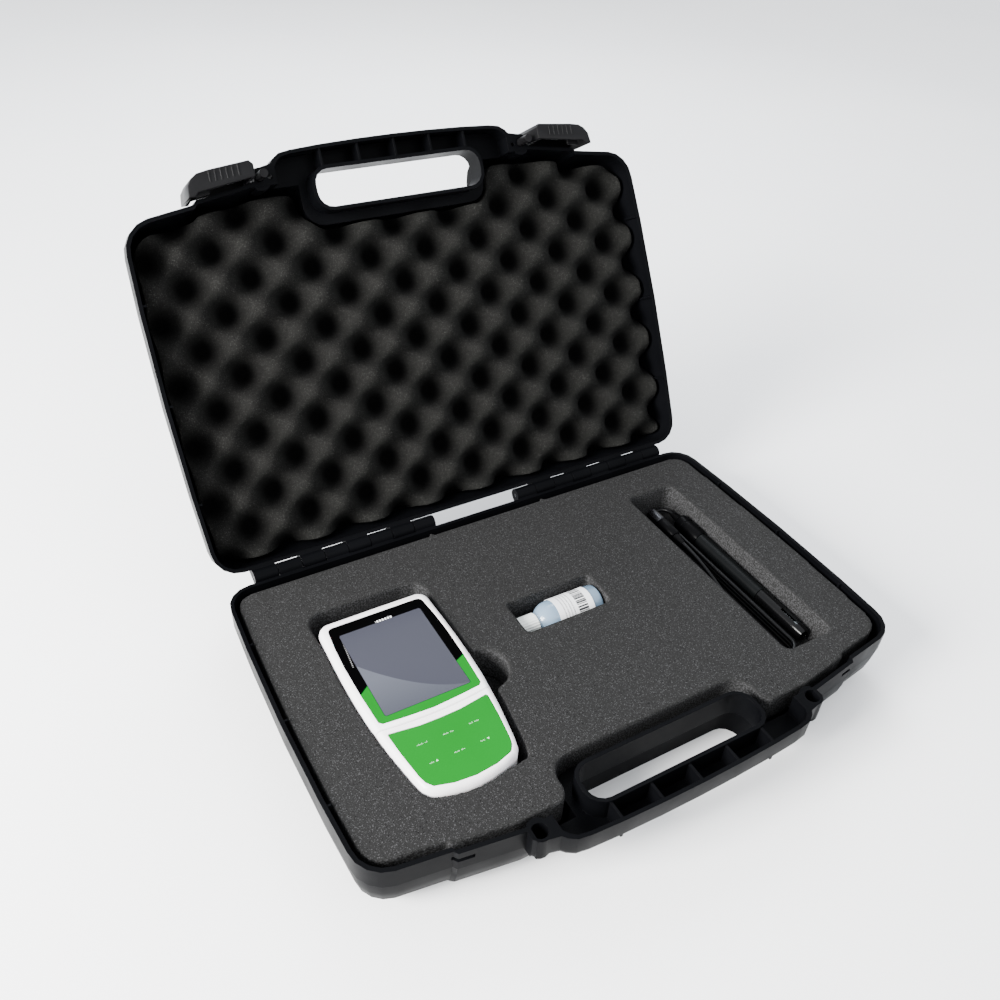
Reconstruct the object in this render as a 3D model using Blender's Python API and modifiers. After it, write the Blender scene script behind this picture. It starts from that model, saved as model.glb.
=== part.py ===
"""Portable water quality test kit: a hinged carrying case with cut foam, a handheld
meter, a bottle of calibration solution and a probe on its cable.

Shapes are written in millimetres in the case's own coordinates: X runs along the
hinge, Y = 0 is the hinge axis with the handle towards -Y, and Z = 0 is the plane
where the two half shells meet. The empty case_frame carries them to the part's own
frame, whose origin is the middle of the base's underside.
"""

import math

import bmesh
import bpy
from mathutils import Matrix, Vector

MM = 0.001

# Case
HALF_WIDTH = 216.0
SIDE_BOW = 3.0
BACK_Y = -6.0
FRONT_Y = -268.0
BACK_RADIUS = 20.0
FRONT_RADIUS = 24.0
BASE_DEPTH = 50.0
LID_DEPTH = 45.0
EDGE_RADIUS = 24.0
RIM_GAP = 0.2
RIM_BAND = 17.0
RIM_WALL = 3.0
WALL = 2.6
BAND_STEP = 1.5
CENTRE_Y = -139.0
OPEN_ANGLE = math.radians(119.84)

# Handle
HANDLE_DEPTH = 20.0
HANDLE_FLOOR = 17.2
OPENING = (70.0, -285.0, -257.0, 11.0)
COLLAR_WALL = 2.8
RECESS_HALF = 76.0
RECESS_Y = -249.0
RIB_PITCH = 30.5
RIB_COUNT = 5

# Hinges and latches
KNUCKLE_START = 39.0
KNUCKLE_PITCH = 19.0
KNUCKLE_COUNT = 8
KNUCKLE_RADIUS = 5.65
KNUCKLE_GAP = 0.3
HINGE_PIN_RADIUS = 1.6
HINGE_BORE_RADIUS = 1.95
LATCH_PIVOT = (111.0, -285.2)
LATCH_REST = math.radians(1.2)
LATCH_HALF_HEIGHT = 18.0
LATCH_PIN_RADIUS = 2.0
LATCH_BORE_RADIUS = 2.3
LATCH_BOSS_RADIUS = 3.2
LATCH_BOSS_FOOT = -14.0
LATCH_ARM = (7.0, 12.4)
LATCH_SLOT = (6.6, 12.8)
SLIT = (149.5, 163.0, -9.0, -5.6)

# Foam
FOAM_TOP = -3.0
FOAM_SPLIT = -32.6
LAYER_GAP = 0.3
FOAM_SEAMS = (-46.0, 60.0)
FOAM_INSET = 6.4
FOAM_FRONT_INSET = 9.4
LID_FOAM_TOP = 8.0

# Meter, in its own coordinates: X across, Y up the display, Z = 0 the parting plane
METER_AT = (-125.0, -153.75, -10.0)
METER_TOP = 11.0
METER_BACK = -19.0
PARTING = 0.6
METER_WALL = 2.4
KEY_COLUMNS = (-19.5, -1.0, 17.5)
KEY_ROWS = (-43.0, -58.8)
KEY_SIZE = (12.0, 9.0)
SCREW_PLACES = ((-30.0, 77.0), (30.0, 77.0), (-28.5, -62.0), (28.5, -62.0))
BATTERY_PITCH = 15.0
PANEL_FLOOR = 9.6
PANEL_BOTTOM = 9.95
PANEL_TOP = 10.95

# Bottle, turned about its own axis, which lies along X with the cap towards -X
BOTTLE_AT = (40.5, -124.5, -18.0)
BOTTLE_RADIUS = 14.0

# Probe, turned about its own axis, which lies along Y with the cable towards +Y
PROBE_AT = (166.2, -226.0, -21.5)
CORD_RADIUS = 1.75
CORD_EXIT_Y = -62.0
HANK_X = 141.7
HANK_HALF_WIDTH = 12.7
HANK_Y = (-237.0, -62.0)
HANK_Z = (-28.85, -18.35)
CONNECTOR_AT = (141.9, -61.3, -12.6)

parts = bpy.data.collections.new("water_quality_probe_kit")
cutters = bpy.data.collections.new("cutters")


def start_scene():
    """Clears the scene and links the two collections."""
    for old in list(bpy.data.objects):
        bpy.data.objects.remove(old)
    bpy.context.scene.collection.children.link(parts)
    bpy.context.scene.collection.children.link(cutters)


def material(name, colour, roughness, metallic=0.0, alpha=1.0):
    """A Principled material in one colour."""
    mat = bpy.data.materials.new(name)
    mat.use_nodes = True
    shader = mat.node_tree.nodes["Principled BSDF"]
    shader.inputs["Base Color"].default_value = (*colour, 1.0)
    shader.inputs["Roughness"].default_value = roughness
    shader.inputs["Metallic"].default_value = metallic
    shader.inputs["Alpha"].default_value = alpha
    mat.diffuse_color = (*colour, alpha)
    return mat


def empty(name, place, parent=None, turn=(0.0, 0.0, 0.0)):
    """An empty at a place in its parent's coordinates, in millimetres."""
    pivot = bpy.data.objects.new(name, None)
    pivot.location = Vector(place) * MM
    pivot.rotation_euler = turn
    pivot.parent = parent
    parts.objects.link(pivot)
    return pivot


def from_bmesh(name, bm, parent, mat=None, smooth=35.0):
    """Makes an object of a bmesh drawn in millimetres. Without a material it is a cutter."""
    bmesh.ops.recalc_face_normals(bm, faces=bm.faces)
    bmesh.ops.scale(bm, vec=(MM, MM, MM), verts=bm.verts)
    mesh = bpy.data.meshes.new(name)
    bm.to_mesh(mesh)
    bm.free()
    mesh.shade_smooth()
    mesh.set_sharp_from_angle(angle=math.radians(smooth))
    obj = bpy.data.objects.new(name, mesh)
    obj.parent = parent
    if mat is None:
        obj.hide_render = True
        obj.display_type = "WIRE"
        cutters.objects.link(obj)
    else:
        mesh.materials.append(mat)
        parts.objects.link(obj)
    return obj


def combine(obj, other, operation):
    """Adds a Boolean with another object, which stays as a cutter."""
    mod = obj.modifiers.new(other.name, "BOOLEAN")
    mod.operation = operation
    mod.solver = "EXACT"
    mod.object = other


def cut(obj, *others):
    for other in others:
        combine(obj, other, "DIFFERENCE")


def join(obj, *others):
    for other in others:
        combine(obj, other, "UNION")


def add_loft(bm, rings):
    """Adds a closed body through rings of the same number of points."""
    loops = [[bm.verts.new(point) for point in ring] for ring in rings]
    count = len(loops[0])
    for low, high in zip(loops, loops[1:]):
        for k in range(count):
            after = (k + 1) % count
            bm.faces.new((low[k], low[after], high[after], high[k]))
    bm.faces.new(loops[0])
    bm.faces.new(loops[-1])


def loft(name, rings, parent, mat=None):
    bm = bmesh.new()
    add_loft(bm, rings)
    return from_bmesh(name, bm, parent, mat)


def raised(outline, z):
    return [(x, y, z) for x, y in outline]


def prism(name, outline, z0, z1, parent, mat=None, bevel=0.0):
    """A flat outline given a height."""
    bm = bmesh.new()
    face = bm.faces.new([bm.verts.new(point) for point in raised(outline, z0)])
    rim = bmesh.ops.extrude_face_region(bm, geom=[face])
    top = [item for item in rim["geom"] if isinstance(item, bmesh.types.BMVert)]
    bmesh.ops.translate(bm, vec=(0.0, 0.0, z1 - z0), verts=top)
    if bevel:
        flat = [edge for edge in bm.edges if abs(edge.verts[0].co.z - edge.verts[1].co.z) < 1e-6]
        bmesh.ops.bevel(bm, geom=flat, offset=bevel, segments=2, affect="EDGES", profile=0.5)
    return from_bmesh(name, bm, parent, mat)


def add_box(bm, x0, x1, y0, y1, z0, z1):
    middle = Matrix.Translation(((x0 + x1) / 2, (y0 + y1) / 2, (z0 + z1) / 2))
    size = Matrix.Diagonal((abs(x1 - x0), abs(y1 - y0), abs(z1 - z0), 1.0))
    bmesh.ops.create_cube(bm, size=1.0, matrix=middle @ size)


def boxes(name, sizes, parent, mat=None, bevel=0.0):
    """One or more boxes that stand apart, each x0, x1, y0, y1, z0, z1."""
    bm = bmesh.new()
    for size in sizes:
        add_box(bm, *size)
    if bevel:
        bmesh.ops.bevel(bm, geom=bm.edges[:], offset=bevel, segments=2, affect="EDGES", profile=0.5)
    return from_bmesh(name, bm, parent, mat)


TURNS = {
    "X": Matrix.Rotation(math.pi / 2, 4, "Y"),
    "Y": Matrix.Rotation(-math.pi / 2, 4, "X"),
    "Z": Matrix.Identity(4),
}


def add_cylinder(bm, radius, start, length, axis="Z", sides=24, far_radius=None):
    """Adds a cylinder that starts at a point and runs along +X, +Y or +Z."""
    half = Matrix.Translation((0.0, 0.0, length / 2))
    bmesh.ops.create_cone(
        bm,
        cap_ends=True,
        segments=sides,
        radius1=radius,
        radius2=radius if far_radius is None else far_radius,
        depth=length,
        matrix=Matrix.Translation(start) @ TURNS[axis] @ half,
    )


def cylinders(name, specs, parent, mat=None, sides=24):
    """One or more cylinders that stand apart, each (radius, start, length, axis)."""
    bm = bmesh.new()
    for radius, start, length, axis in specs:
        add_cylinder(bm, radius, start, length, axis, sides)
    return from_bmesh(name, bm, parent, mat)


def turned(name, profile, parent, mat, place, axis, sides=32):
    """A profile of (radius, height) turned about an axis, listed down its outer side."""
    bm = bmesh.new()
    points = [bm.verts.new((radius * MM, 0.0, height * MM)) for radius, height in profile]
    for first, second in zip(points, points[1:]):
        bm.edges.new((first, second))
    mesh = bpy.data.meshes.new(name)
    bm.to_mesh(mesh)
    bm.free()
    mesh.materials.append(mat)
    obj = bpy.data.objects.new(name, mesh)
    obj.parent = parent
    obj.location = Vector(place) * MM
    obj.rotation_euler = TURNS[axis].to_euler()
    screw = obj.modifiers.new("turn", "SCREW")
    screw.steps = sides
    screw.render_steps = sides
    screw.use_merge_vertices = True
    screw.merge_threshold = 0.00001
    parts.objects.link(obj)
    return obj


def arc(centre, radius, start, end, steps):
    """Points on an arc between two angles in degrees."""
    angles = [math.radians(start + (end - start) * k / steps) for k in range(steps + 1)]
    return [(centre[0] + radius * math.cos(a), centre[1] + radius * math.sin(a)) for a in angles]


def mirrored(half):
    """Closes a half outline, listed from back to front at +X, with its mirror image."""
    return half + [(-x, y) for x, y in reversed(half) if x > 1e-6]


def rounded_box(half_x, y0, y1, radius, centre_x=0.0, steps=4):
    """A rectangle with round corners."""
    x0 = centre_x - half_x + radius
    x1 = centre_x + half_x - radius
    corners = (
        ((x1, y1 - radius), 90, 0),
        ((x1, y0 + radius), 0, -90),
        ((x0, y0 + radius), -90, -180),
        ((x0, y1 - radius), -180, -270),
    )
    return [point for place, a, b in corners for point in arc(place, radius, a, b, steps)]


def inward(outline, distance):
    """Moves a clockwise outline inwards, keeping its corners mitred."""
    moved = []
    count = len(outline)
    for k in range(count):
        before = Vector(outline[k - 1])
        here = Vector(outline[k])
        after = Vector(outline[(k + 1) % count])
        first = (here - before).normalized()
        second = (after - here).normalized()
        normal_1 = Vector((first.y, -first.x))
        normal_2 = Vector((second.y, -second.x))
        mitre = (normal_1 + normal_2) / (1.0 + normal_1.dot(normal_2))
        moved.append(tuple(here + mitre * distance))
    return moved


def sided(outline, side):
    """The outline on the right (side 1) or its mirror image on the left (side -1)."""
    return [(x * side, y) for x, y in outline]


# The shells


def case_outline(inset, front_inset=None):
    """The case's outline, moved inwards. Its sides bow out and its front steps out twice."""
    front = inset if front_inset is None else front_inset
    back_r = max(BACK_RADIUS - inset, 2.0)
    front_r = max(FRONT_RADIUS - inset, 2.0)
    edge_x = HALF_WIDTH - inset
    middle_y = (BACK_Y + FRONT_Y) / 2
    reach = (BACK_Y - FRONT_Y) / 2 - 20.0
    half = arc((edge_x - back_r, BACK_Y - inset - back_r), back_r, 90, 0, 4)
    for y in (middle_y + 68.0, middle_y, middle_y - 68.0):
        bow = SIDE_BOW * (1.0 - ((y - middle_y) / reach) ** 2)
        half.append((edge_x + bow, y))
    half += arc((edge_x - front_r, FRONT_Y + front + front_r), front_r, 0, -80, 4)
    half += [(162.0, -272.4 + front), (160.0, -275.2 + front), (118.0, -281.5 + front)]
    return mirrored(half)


def outer_rings(depth, way):
    """Rings of the outside, from the rim down to the flat of the shell."""
    levels = [(0.0, RIM_GAP), (0.2, RIM_BAND), (0.9, RIM_BAND + 0.6), (BAND_STEP, depth - EDGE_RADIUS)]
    for k in range(1, 5):
        angle = math.radians(22.5 * k)
        inset = BAND_STEP + EDGE_RADIUS * (1.0 - math.cos(angle))
        levels.append((inset, depth - EDGE_RADIUS + EDGE_RADIUS * math.sin(angle)))
    return [raised(case_outline(inset), way * z) for inset, z in levels]


def inner_rings(depth, way):
    """Rings of the hollow, which starts above the rim."""
    inner = EDGE_RADIUS - WALL
    levels = [(RIM_WALL, -2.0), (RIM_WALL + 0.2, RIM_BAND), (BAND_STEP + WALL, depth - EDGE_RADIUS)]
    for k in range(1, 5):
        angle = math.radians(22.5 * k)
        inset = BAND_STEP + EDGE_RADIUS - inner * math.cos(angle)
        levels.append((inset, depth - EDGE_RADIUS + inner * math.sin(angle)))
    return [raised(case_outline(inset), way * z) for inset, z in levels]


def handle_outline(inset):
    """The handle block: a shallow front arc, shoulders, and the two lugs beside them."""
    half = [
        (117.3, -245.4),
        (117.3, -287.5 + inset * 0.3),
        (114.5, -290.8 + inset),
        (106.0, -292.5 + inset),
        (101.0 - inset * 0.6, -293.5 + inset * 0.6),
        (98.5 - inset * 0.7, -296.5 + inset * 0.7),
        (93.0 - inset * 0.3, -300.0 + inset),
        (84.0, -301.4 + inset),
        (60.0, -302.8 + inset),
        (30.0, -303.7 + inset),
        (0.0, -304.0 + inset),
    ]
    return mirrored(half)


def handle_hollow():
    """The channel inside the handle and the floors beside the opening."""
    half = [
        (98.4, -262.0),
        (98.4, -290.5),
        (96.0, -294.0),
        (92.0, -297.3),
        (84.0, -298.7),
        (60.0, -300.1),
        (30.0, -301.0),
        (0.0, -301.3),
    ]
    return mirrored(half)


def lug_outline(side, radius, flat_x, centre=(110.5, -283.5)):
    """A D: round towards the inside of the case, flat on its outer side."""
    half_angle = math.degrees(math.acos((flat_x - centre[0]) / radius))
    return sided(arc(centre, radius, half_angle, 360.0 - half_angle, 12), side)


def knuckle_profile(way):
    """A barrel that runs into the back wall, as (y, z)."""
    barrel = arc((0.0, 0.0), KNUCKLE_RADIUS, 180, -60, 10)
    return [(y, -way * z) for y, z in barrel + [(-8.0, -14.0), (-8.0, -1.0)]]


def add_knuckles(shell, frame, way, first):
    """Every second knuckle of both hinges, bored for the pins."""
    bm = bmesh.new()
    for side in (-1, 1):
        for k in range(first, KNUCKLE_COUNT, 2):
            start = KNUCKLE_START + KNUCKLE_PITCH * k + KNUCKLE_GAP
            end = KNUCKLE_START + KNUCKLE_PITCH * (k + 1) - KNUCKLE_GAP
            rings = [[(side * x, y, z) for y, z in knuckle_profile(way)] for x in (start, end)]
            add_loft(bm, rings)
    join(shell, from_bmesh(shell.name + "_knuckles", bm, frame))
    length = KNUCKLE_PITCH * KNUCKLE_COUNT + 6.0
    starts = (KNUCKLE_START - 3.0, -KNUCKLE_START + 3.0 - length)
    specs = [(HINGE_BORE_RADIUS, (x, 0.0, 0.0), length, "X") for x in starts]
    cut(shell, cylinders(shell.name + "_bores", specs, frame, sides=12))


def half_shell(name, frame, depth, way, mat):
    """A half shell with its handle. way is -1 for the base and 1 for the lid."""
    shell = loft(name, outer_rings(depth, way), frame, mat)
    recess = rounded_box(RECESS_HALF, -340.0, RECESS_Y, 12.0)
    cut(shell, prism(name + "_recess", recess, way * 19.4, way * (depth + 6.0), frame))
    levels = ((0.0, RIM_GAP), (0.2, 14.5), (1.2, 17.6), (4.2, HANDLE_DEPTH))
    block = [raised(handle_outline(inset), way * z) for inset, z in levels]
    join(shell, loft(name + "_handle", block, frame))
    hollow = loft(name + "_hollow", inner_rings(depth, way), frame)
    kept = rounded_box(RECESS_HALF + WALL, -360.0, RECESS_Y + WALL, 12.0 + WALL)
    cut(hollow, prism(name + "_kept", kept, way * HANDLE_FLOOR, way * (depth + 9.0), frame))
    cut(shell, hollow)
    cut(shell, prism(name + "_channel", handle_hollow(), way * HANDLE_FLOOR, -way * 2.0, frame))
    half_x, y0, y1, radius = OPENING
    collar = rounded_box(half_x + COLLAR_WALL, y0 - COLLAR_WALL, y1 + COLLAR_WALL, radius + COLLAR_WALL)
    join(shell, prism(name + "_collar", collar, way * (RIM_GAP + 0.3), way * 18.6, frame))
    ribs = []
    for k in range(RIB_COUNT):
        x = RIB_PITCH * (k - (RIB_COUNT - 1) / 2)
        ribs.append((x - 0.9, x + 0.9, -302.2, -286.4, way * 1.6, way * 18.4))
    join(shell, boxes(name + "_ribs", ribs, frame))
    opening = rounded_box(half_x, y0, y1, radius)
    cut(shell, prism(name + "_opening", opening, -way * 4.0, way * 30.0, frame))
    ticks = []
    for side in (-1, 1):
        for y in (-64.0, -138.0, -210.0):
            x = HALF_WIDTH + SIDE_BOW * (0.55 if y != -138.0 else 1.0)
            ticks.append((side * (x - 5.6), side * (x - 2.0), y - 0.8, y + 0.8, way * 0.8, way * 16.0))
    join(shell, boxes(name + "_ticks", ticks, frame))
    return shell


def base_shell(frame, mat):
    shell = half_shell("base_shell", frame, BASE_DEPTH, -1, mat)
    for side in (-1, 1):
        tag = "_right" if side > 0 else "_left"
        lug = lug_outline(side, 8.4, 115.6)
        join(shell, prism("base_lug" + tag, lug, -18.4, -RIM_GAP - 0.3, frame))
        hole = lug_outline(side, 5.4, 114.7, (110.7, -284.5))
        cut(shell, prism("base_lug_hole" + tag, hole, -16.2, 4.0, frame))
        x0, x1, z0, z1 = SLIT
        cut(shell, boxes("base_slit" + tag, [(side * x0, side * x1, -284.0, -266.0, z0, z1)], frame))
    add_knuckles(shell, frame, -1, 0)
    return shell


def lid_shell(frame, mat):
    """The lid's lugs are split, so that the latches' eyes turn in them."""
    shell = half_shell("lid_shell", frame, LID_DEPTH, 1, mat)
    low, high = LATCH_SLOT
    for side in (-1, 1):
        tag = "_right" if side > 0 else "_left"
        lug = lug_outline(side, 8.4, 115.6)
        join(shell, prism("lid_lug" + tag, lug, RIM_GAP + 0.3, 18.4, frame))
        x, y = LATCH_PIVOT
        slot = [(x - 5.1, -320.0)] + arc((x, y), 5.1, 180, 60, 6) + [(140.0, -280.6), (140.0, -320.0)]
        cut(shell, prism("lid_slot" + tag, sided(slot, side), low, high, frame))
        bore = (LATCH_BORE_RADIUS, (side * x, y, -4.0), 30.0, "Z")
        boss = (LATCH_BOSS_RADIUS + 0.4, (side * x, y, -4.0), 12.0, "Z")
        window = (1.7, (side * 103.2, -284.2, -4.0), 30.0, "Z")
        cut(shell, boxes("lid_ear_side" + tag, [(side * 115.3, side * 122.0, -300.0, -282.2, -4.0, 24.0)], frame))
        cut(shell, cylinders("lid_pin_bore" + tag, [bore], frame, sides=16))
        cut(shell, cylinders("lid_boss_bore" + tag, [boss], frame, sides=20))
        cut(shell, cylinders("lid_window" + tag, [window], frame, sides=12))
    add_knuckles(shell, frame, 1, 1)
    return shell


def latch(side, lid_frame, plastic, steel):
    """A ridged clip that swings on a pin beside the handle, and its pin."""
    tag = "right" if side > 0 else "left"
    x0, y0 = LATCH_PIVOT
    pivot = empty("latch_pivot_" + tag, (side * x0, y0, 0.0), lid_frame, (0.0, 0.0, -side * LATCH_REST))

    def at(points):
        return [(side * (x - x0), y - y0) for x, y in points]

    outside = [(118.0, -282.8), (118.0, -291.6), (120.8, -294.4), (150.4, -290.8), (158.8, -289.1)]
    outside += [(163.3, -286.1), (166.5, -281.5), (167.8, -273.2), (162.6, -273.4), (160.4, -276.2)]
    inside = [(120.4, -266.0), (120.4, -292.0), (150.0, -288.4), (157.8, -286.8), (161.6, -284.3)]
    inside += [(164.2, -280.6), (165.4, -273.0), (165.6, -266.0)]
    half = LATCH_HALF_HEIGHT
    clip = prism("latch_" + tag, at(outside), -half, half, pivot, plastic, bevel=1.2)
    cut(clip, prism("latch_hollow_" + tag, at(inside), 2.4 - half, half - 2.4, pivot))
    ridges = []
    for k in range(6):
        x = side * (129.5 + 4.2 * k - x0)
        y = -292.3 - y0 + 0.1216 * 4.2 * k
        for way in (-1, 1):
            ridges.append((x - 0.45, x + 0.45, y, y + 7.6, way * (half - 0.8), way * (half + 0.4)))
    join(clip, boxes("latch_ridges_" + tag, ridges, pivot))
    low, high = LATCH_ARM
    arm = at([(112.5, -289.2), (121.4, -290.2), (121.4, -281.6), (112.5, -281.0)])
    join(clip, prism("latch_arm_" + tag, arm, low, high, pivot))
    boss = (LATCH_BOSS_RADIUS, (0.0, 0.0, LATCH_BOSS_FOOT), high - 0.1 - LATCH_BOSS_FOOT, "Z")
    eye = (4.6, (0.0, 0.0, low + 0.1), high - low - 0.3, "Z")
    join(clip, cylinders("latch_eye_" + tag, [eye], pivot, sides=20))
    join(clip, cylinders("latch_boss_" + tag, [boss], pivot, sides=20))
    bore = (LATCH_BORE_RADIUS, (0.0, 0.0, -8.2), 30.0, "Z")
    cut(clip, cylinders("latch_bore_" + tag, [bore], pivot, sides=16))
    gap = at([(115.6, -288.4), (119.0, -288.4), (119.0, -283.4), (115.6, -283.4)])
    cut(clip, prism("latch_gap_" + tag, gap, 0.0, 20.0, pivot))
    hook = at([(151.0, -289.6), (160.6, -285.8), (160.6, -274.4), (151.0, -276.2)])
    join(clip, prism("latch_hook_" + tag, hook, -8.2, -6.4, pivot))
    profile = [(0.0, 19.2), (1.9, 19.2), (LATCH_PIN_RADIUS, 18.6), (LATCH_PIN_RADIUS, -6.0), (1.6, -7.4), (0.0, -7.4)]
    turned("latch_pin_" + tag, profile, lid_frame, steel, (side * x0, y0, 0.0), "Z", 16)
    return pivot


def hinge_pins(frame, steel):
    """A steel pin through each hinge."""
    length = KNUCKLE_PITCH * KNUCKLE_COUNT - 1.0
    for tag, start in (("right", KNUCKLE_START + 0.5), ("left", -KNUCKLE_START - 0.5 - length)):
        spec = (HINGE_PIN_RADIUS, (start, 0.0, 0.0), length, "X")
        cylinders("hinge_pin_" + tag, [spec], frame, steel, sides=12)


# The foams


def foam_rings(depth, way, top):
    """Rings of a foam block that follows its shell with a gap."""
    start = depth - EDGE_RADIUS
    levels = [(FOAM_INSET, top), (FOAM_INSET + 0.6, start)]
    reach = BAND_STEP + EDGE_RADIUS - FOAM_INSET - 0.6
    drop = EDGE_RADIUS - WALL - 0.4
    for angle in (math.radians(35.0), math.radians(65.0), math.radians(90.0)):
        inset = BAND_STEP + EDGE_RADIUS - reach * math.cos(angle)
        levels.append((inset, start + drop * math.sin(angle)))
    extra = FOAM_FRONT_INSET - FOAM_INSET
    return [raised(case_outline(inset, inset + extra), way * z) for inset, z in levels]


def collar_notch():
    """The bay that the foam leaves around the handle opening."""
    half = [(0.0, -244.0)] + arc((66.0, -258.0), 14.0, 90, 0, 4)
    half += arc((92.0, -262.0), 12.0, 180, 270, 4)
    half += [(99.0, -275.2), (99.0, -330.0)]
    return mirrored(half)


def meter_pocket():
    """The meter's pocket: tight on its left and its foot, with room at its head."""
    x, y, _ = METER_AT
    tight = [point for point in inward(meter_outline(), -1.1) if point[0] < 31.0 and point[1] < 60.0]
    tight = [point for point in tight if point[0] < 0.0 or point[1] < -60.0]
    tight.sort(key=lambda point: math.atan2(-point[0], point[1]) % math.tau)
    head = [(39.0, -77.4), (42.2, -63.4), (46.6, -31.5), (48.6, 0.0), (48.4, 18.5), (47.4, 42.7), (46.9, 84.6)]
    head += [(45.3, 92.0), (41.2, 97.0), (30.7, 99.6), (-34.6, 100.2), (-41.9, 96.8), (-45.3, 91.5)]
    return [(x + px, y + py) for px, py in head + tight + [(36.4, -81.0)]]


def probe_slot(clearance=0.0):
    """The long slot for the probe and its cable."""
    return rounded_box(23.0 - clearance, -243.0 + clearance, -44.0 - clearance, 7.0 - clearance, centre_x=151.0)


def foam_layer(name, frame, mat, wastes):
    """The base's foam with the wastes, boxes to cut away, taken off."""
    layer = loft(name, foam_rings(BASE_DEPTH, -1, -FOAM_TOP), frame, mat)
    for number, waste in enumerate(wastes):
        cut(layer, boxes(f"{name}_waste_{number}", [waste], frame))
    cut(layer, prism(name + "_notch", collar_notch(), -90.0, 30.0, frame))
    return layer


def base_foam(frame, mat):
    """A cut-out layer in three blocks over a plain one, with a thin pad under the meter and one under the probe."""
    above = 6.0
    through = FOAM_SPLIT - 6.0
    gap = LAYER_GAP / 2
    foam_layer("foam_floor", frame, mat, [(-250.0, 250.0, -320.0, 40.0, FOAM_SPLIT - LAYER_GAP, 20.0)])
    under = (-250.0, 250.0, -320.0, 40.0, -80.0, FOAM_SPLIT)
    left, right = FOAM_SEAMS
    past_left = (left - gap, 250.0, -321.0, 41.0, -81.0, 21.0)
    past_right = (-250.0, right + gap, -321.0, 41.0, -81.0, 21.0)
    before_middle = (-250.0, left + gap, -321.0, 41.0, -81.0, 21.0)
    after_middle = (right - gap, 250.0, -322.0, 42.0, -82.0, 22.0)
    pocket = meter_pocket()
    meter_block = foam_layer("foam_meter_block", frame, mat, [under, past_left])
    cut(meter_block, prism("foam_meter_pocket", pocket, through, above, frame))
    grip = arc((METER_AT[0] + 46.0, METER_AT[1] - 2.5), 19.5, 360, 15, 23)
    cut(meter_block, prism("foam_finger_notch", grip, through - 1.0, above + 1.0, frame))
    bottle_block = foam_layer("foam_bottle_block", frame, mat, [under, before_middle, after_middle])
    x, y, z = BOTTLE_AT
    bottle = rounded_box(37.0, y - 16.5, y + 16.5, 3.0, centre_x=5.0)
    cut(bottle_block, prism("foam_bottle_pocket", bottle, through, above, frame))
    probe_block = foam_layer("foam_probe_block", frame, mat, [under, past_right])
    cut(probe_block, prism("foam_probe_slot", probe_slot(), through, above, frame))
    prism("foam_meter_pad", inward(pocket, -0.4), FOAM_SPLIT, METER_AT[2] + METER_BACK - 0.5, frame, mat)
    prism("foam_slot_pad", probe_slot(0.4), FOAM_SPLIT, HANK_Z[0] - 0.4, frame, mat)


def lid_foam(frame, mat):
    foam = loft("lid_foam", foam_rings(LID_DEPTH, 1, LID_FOAM_TOP), frame, mat)
    cut(foam, prism("lid_foam_notch", collar_notch(), -6.0, 60.0, frame))
    return foam


# The meter


def meter_outline():
    """The meter's plan: a square head, slightly bowed sides and a narrower round foot."""
    half = [(0.0, 84.3), (20.0, 84.2)] + arc((34.5, 75.2), 9.0, 86, 4, 4)
    half += [(44.3, 52.0), (44.8, 31.0), (44.6, 12.0), (43.9, -8.0), (42.6, -20.5), (41.0, -36.0)]
    half += [(38.3, -53.0), (36.3, -65.0), (34.4, -72.3), (30.5, -77.5), (20.0, -81.3), (8.0, -83.8)]
    return mirrored(half + [(0.0, -84.3)])


def panel_outline():
    """The display panel, whose sides bow and whose lower edge sags a little."""
    half = [(0.0, 77.3)] + arc((33.3, 73.3), 4.0, 90, 0, 3)
    half += [(38.8, 57.0), (39.6, 38.0), (39.3, 12.0), (38.0, -15.2), (35.8, -17.4), (19.5, -19.0)]
    return mirrored(half + [(0.0, -20.2)])


def keypad_outline():
    """The keypad, which narrows into the meter's round foot."""
    half = [(0.0, -29.6), (15.0, -29.2), (35.9, -26.3), (36.8, -27.2), (35.2, -45.0), (32.5, -64.5)]
    half += [(31.0, -70.2), (27.5, -74.7), (15.0, -78.4)]
    return mirrored(half + [(0.0, -79.8)])


def key_name(column, row):
    return "key_%d" % (row * len(KEY_COLUMNS) + column + 1)


def meter_front(frame, mat):
    outline = meter_outline()
    levels = ((0.0, PARTING), (0.0, 5.5), (0.5, 8.2), (1.6, 10.0), (3.4, METER_TOP))
    front = loft("meter_front_case", [raised(inward(outline, d), z) for d, z in levels], frame, mat)
    hollow = [raised(inward(outline, d), z) for d, z in ((METER_WALL, -2.0), (METER_WALL, 6.4), (3.6, 7.8))]
    cut(front, loft("meter_front_hollow", hollow, frame))
    panels = (("panel", panel_outline()), ("keypad", keypad_outline()))
    for label, shape in panels:
        cut(front, prism("meter_front_" + label, shape, PANEL_FLOOR, 14.0, frame))
    cut(front, prism("meter_front_window", rounded_box(29.7, -10.4, 65.6, 2.0), 4.0, 12.0, frame))
    pockets = []
    stems = []
    for x in KEY_COLUMNS:
        for y in KEY_ROWS:
            half_x, half_y = KEY_SIZE[0] / 2 + 0.3, KEY_SIZE[1] / 2 + 0.3
            pockets.append((x - half_x, x + half_x, y - half_y, y + half_y, 9.0, 12.0))
            stems.append((2.6, (x, y, 5.0), 7.0, "Z"))
    cut(front, boxes("meter_front_key_pockets", pockets, frame))
    cut(front, cylinders("meter_front_key_holes", stems, frame, sides=12))
    bosses = [(3.4, (x, y, 0.9), 7.6, "Z") for x, y in SCREW_PLACES]
    join(front, cylinders("meter_front_bosses", bosses, frame, sides=16))
    holes = [(1.5, (x, y, -1.0), 7.6, "Z") for x, y in SCREW_PLACES]
    cut(front, cylinders("meter_front_holes", holes, frame, sides=12))
    return front


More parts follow.
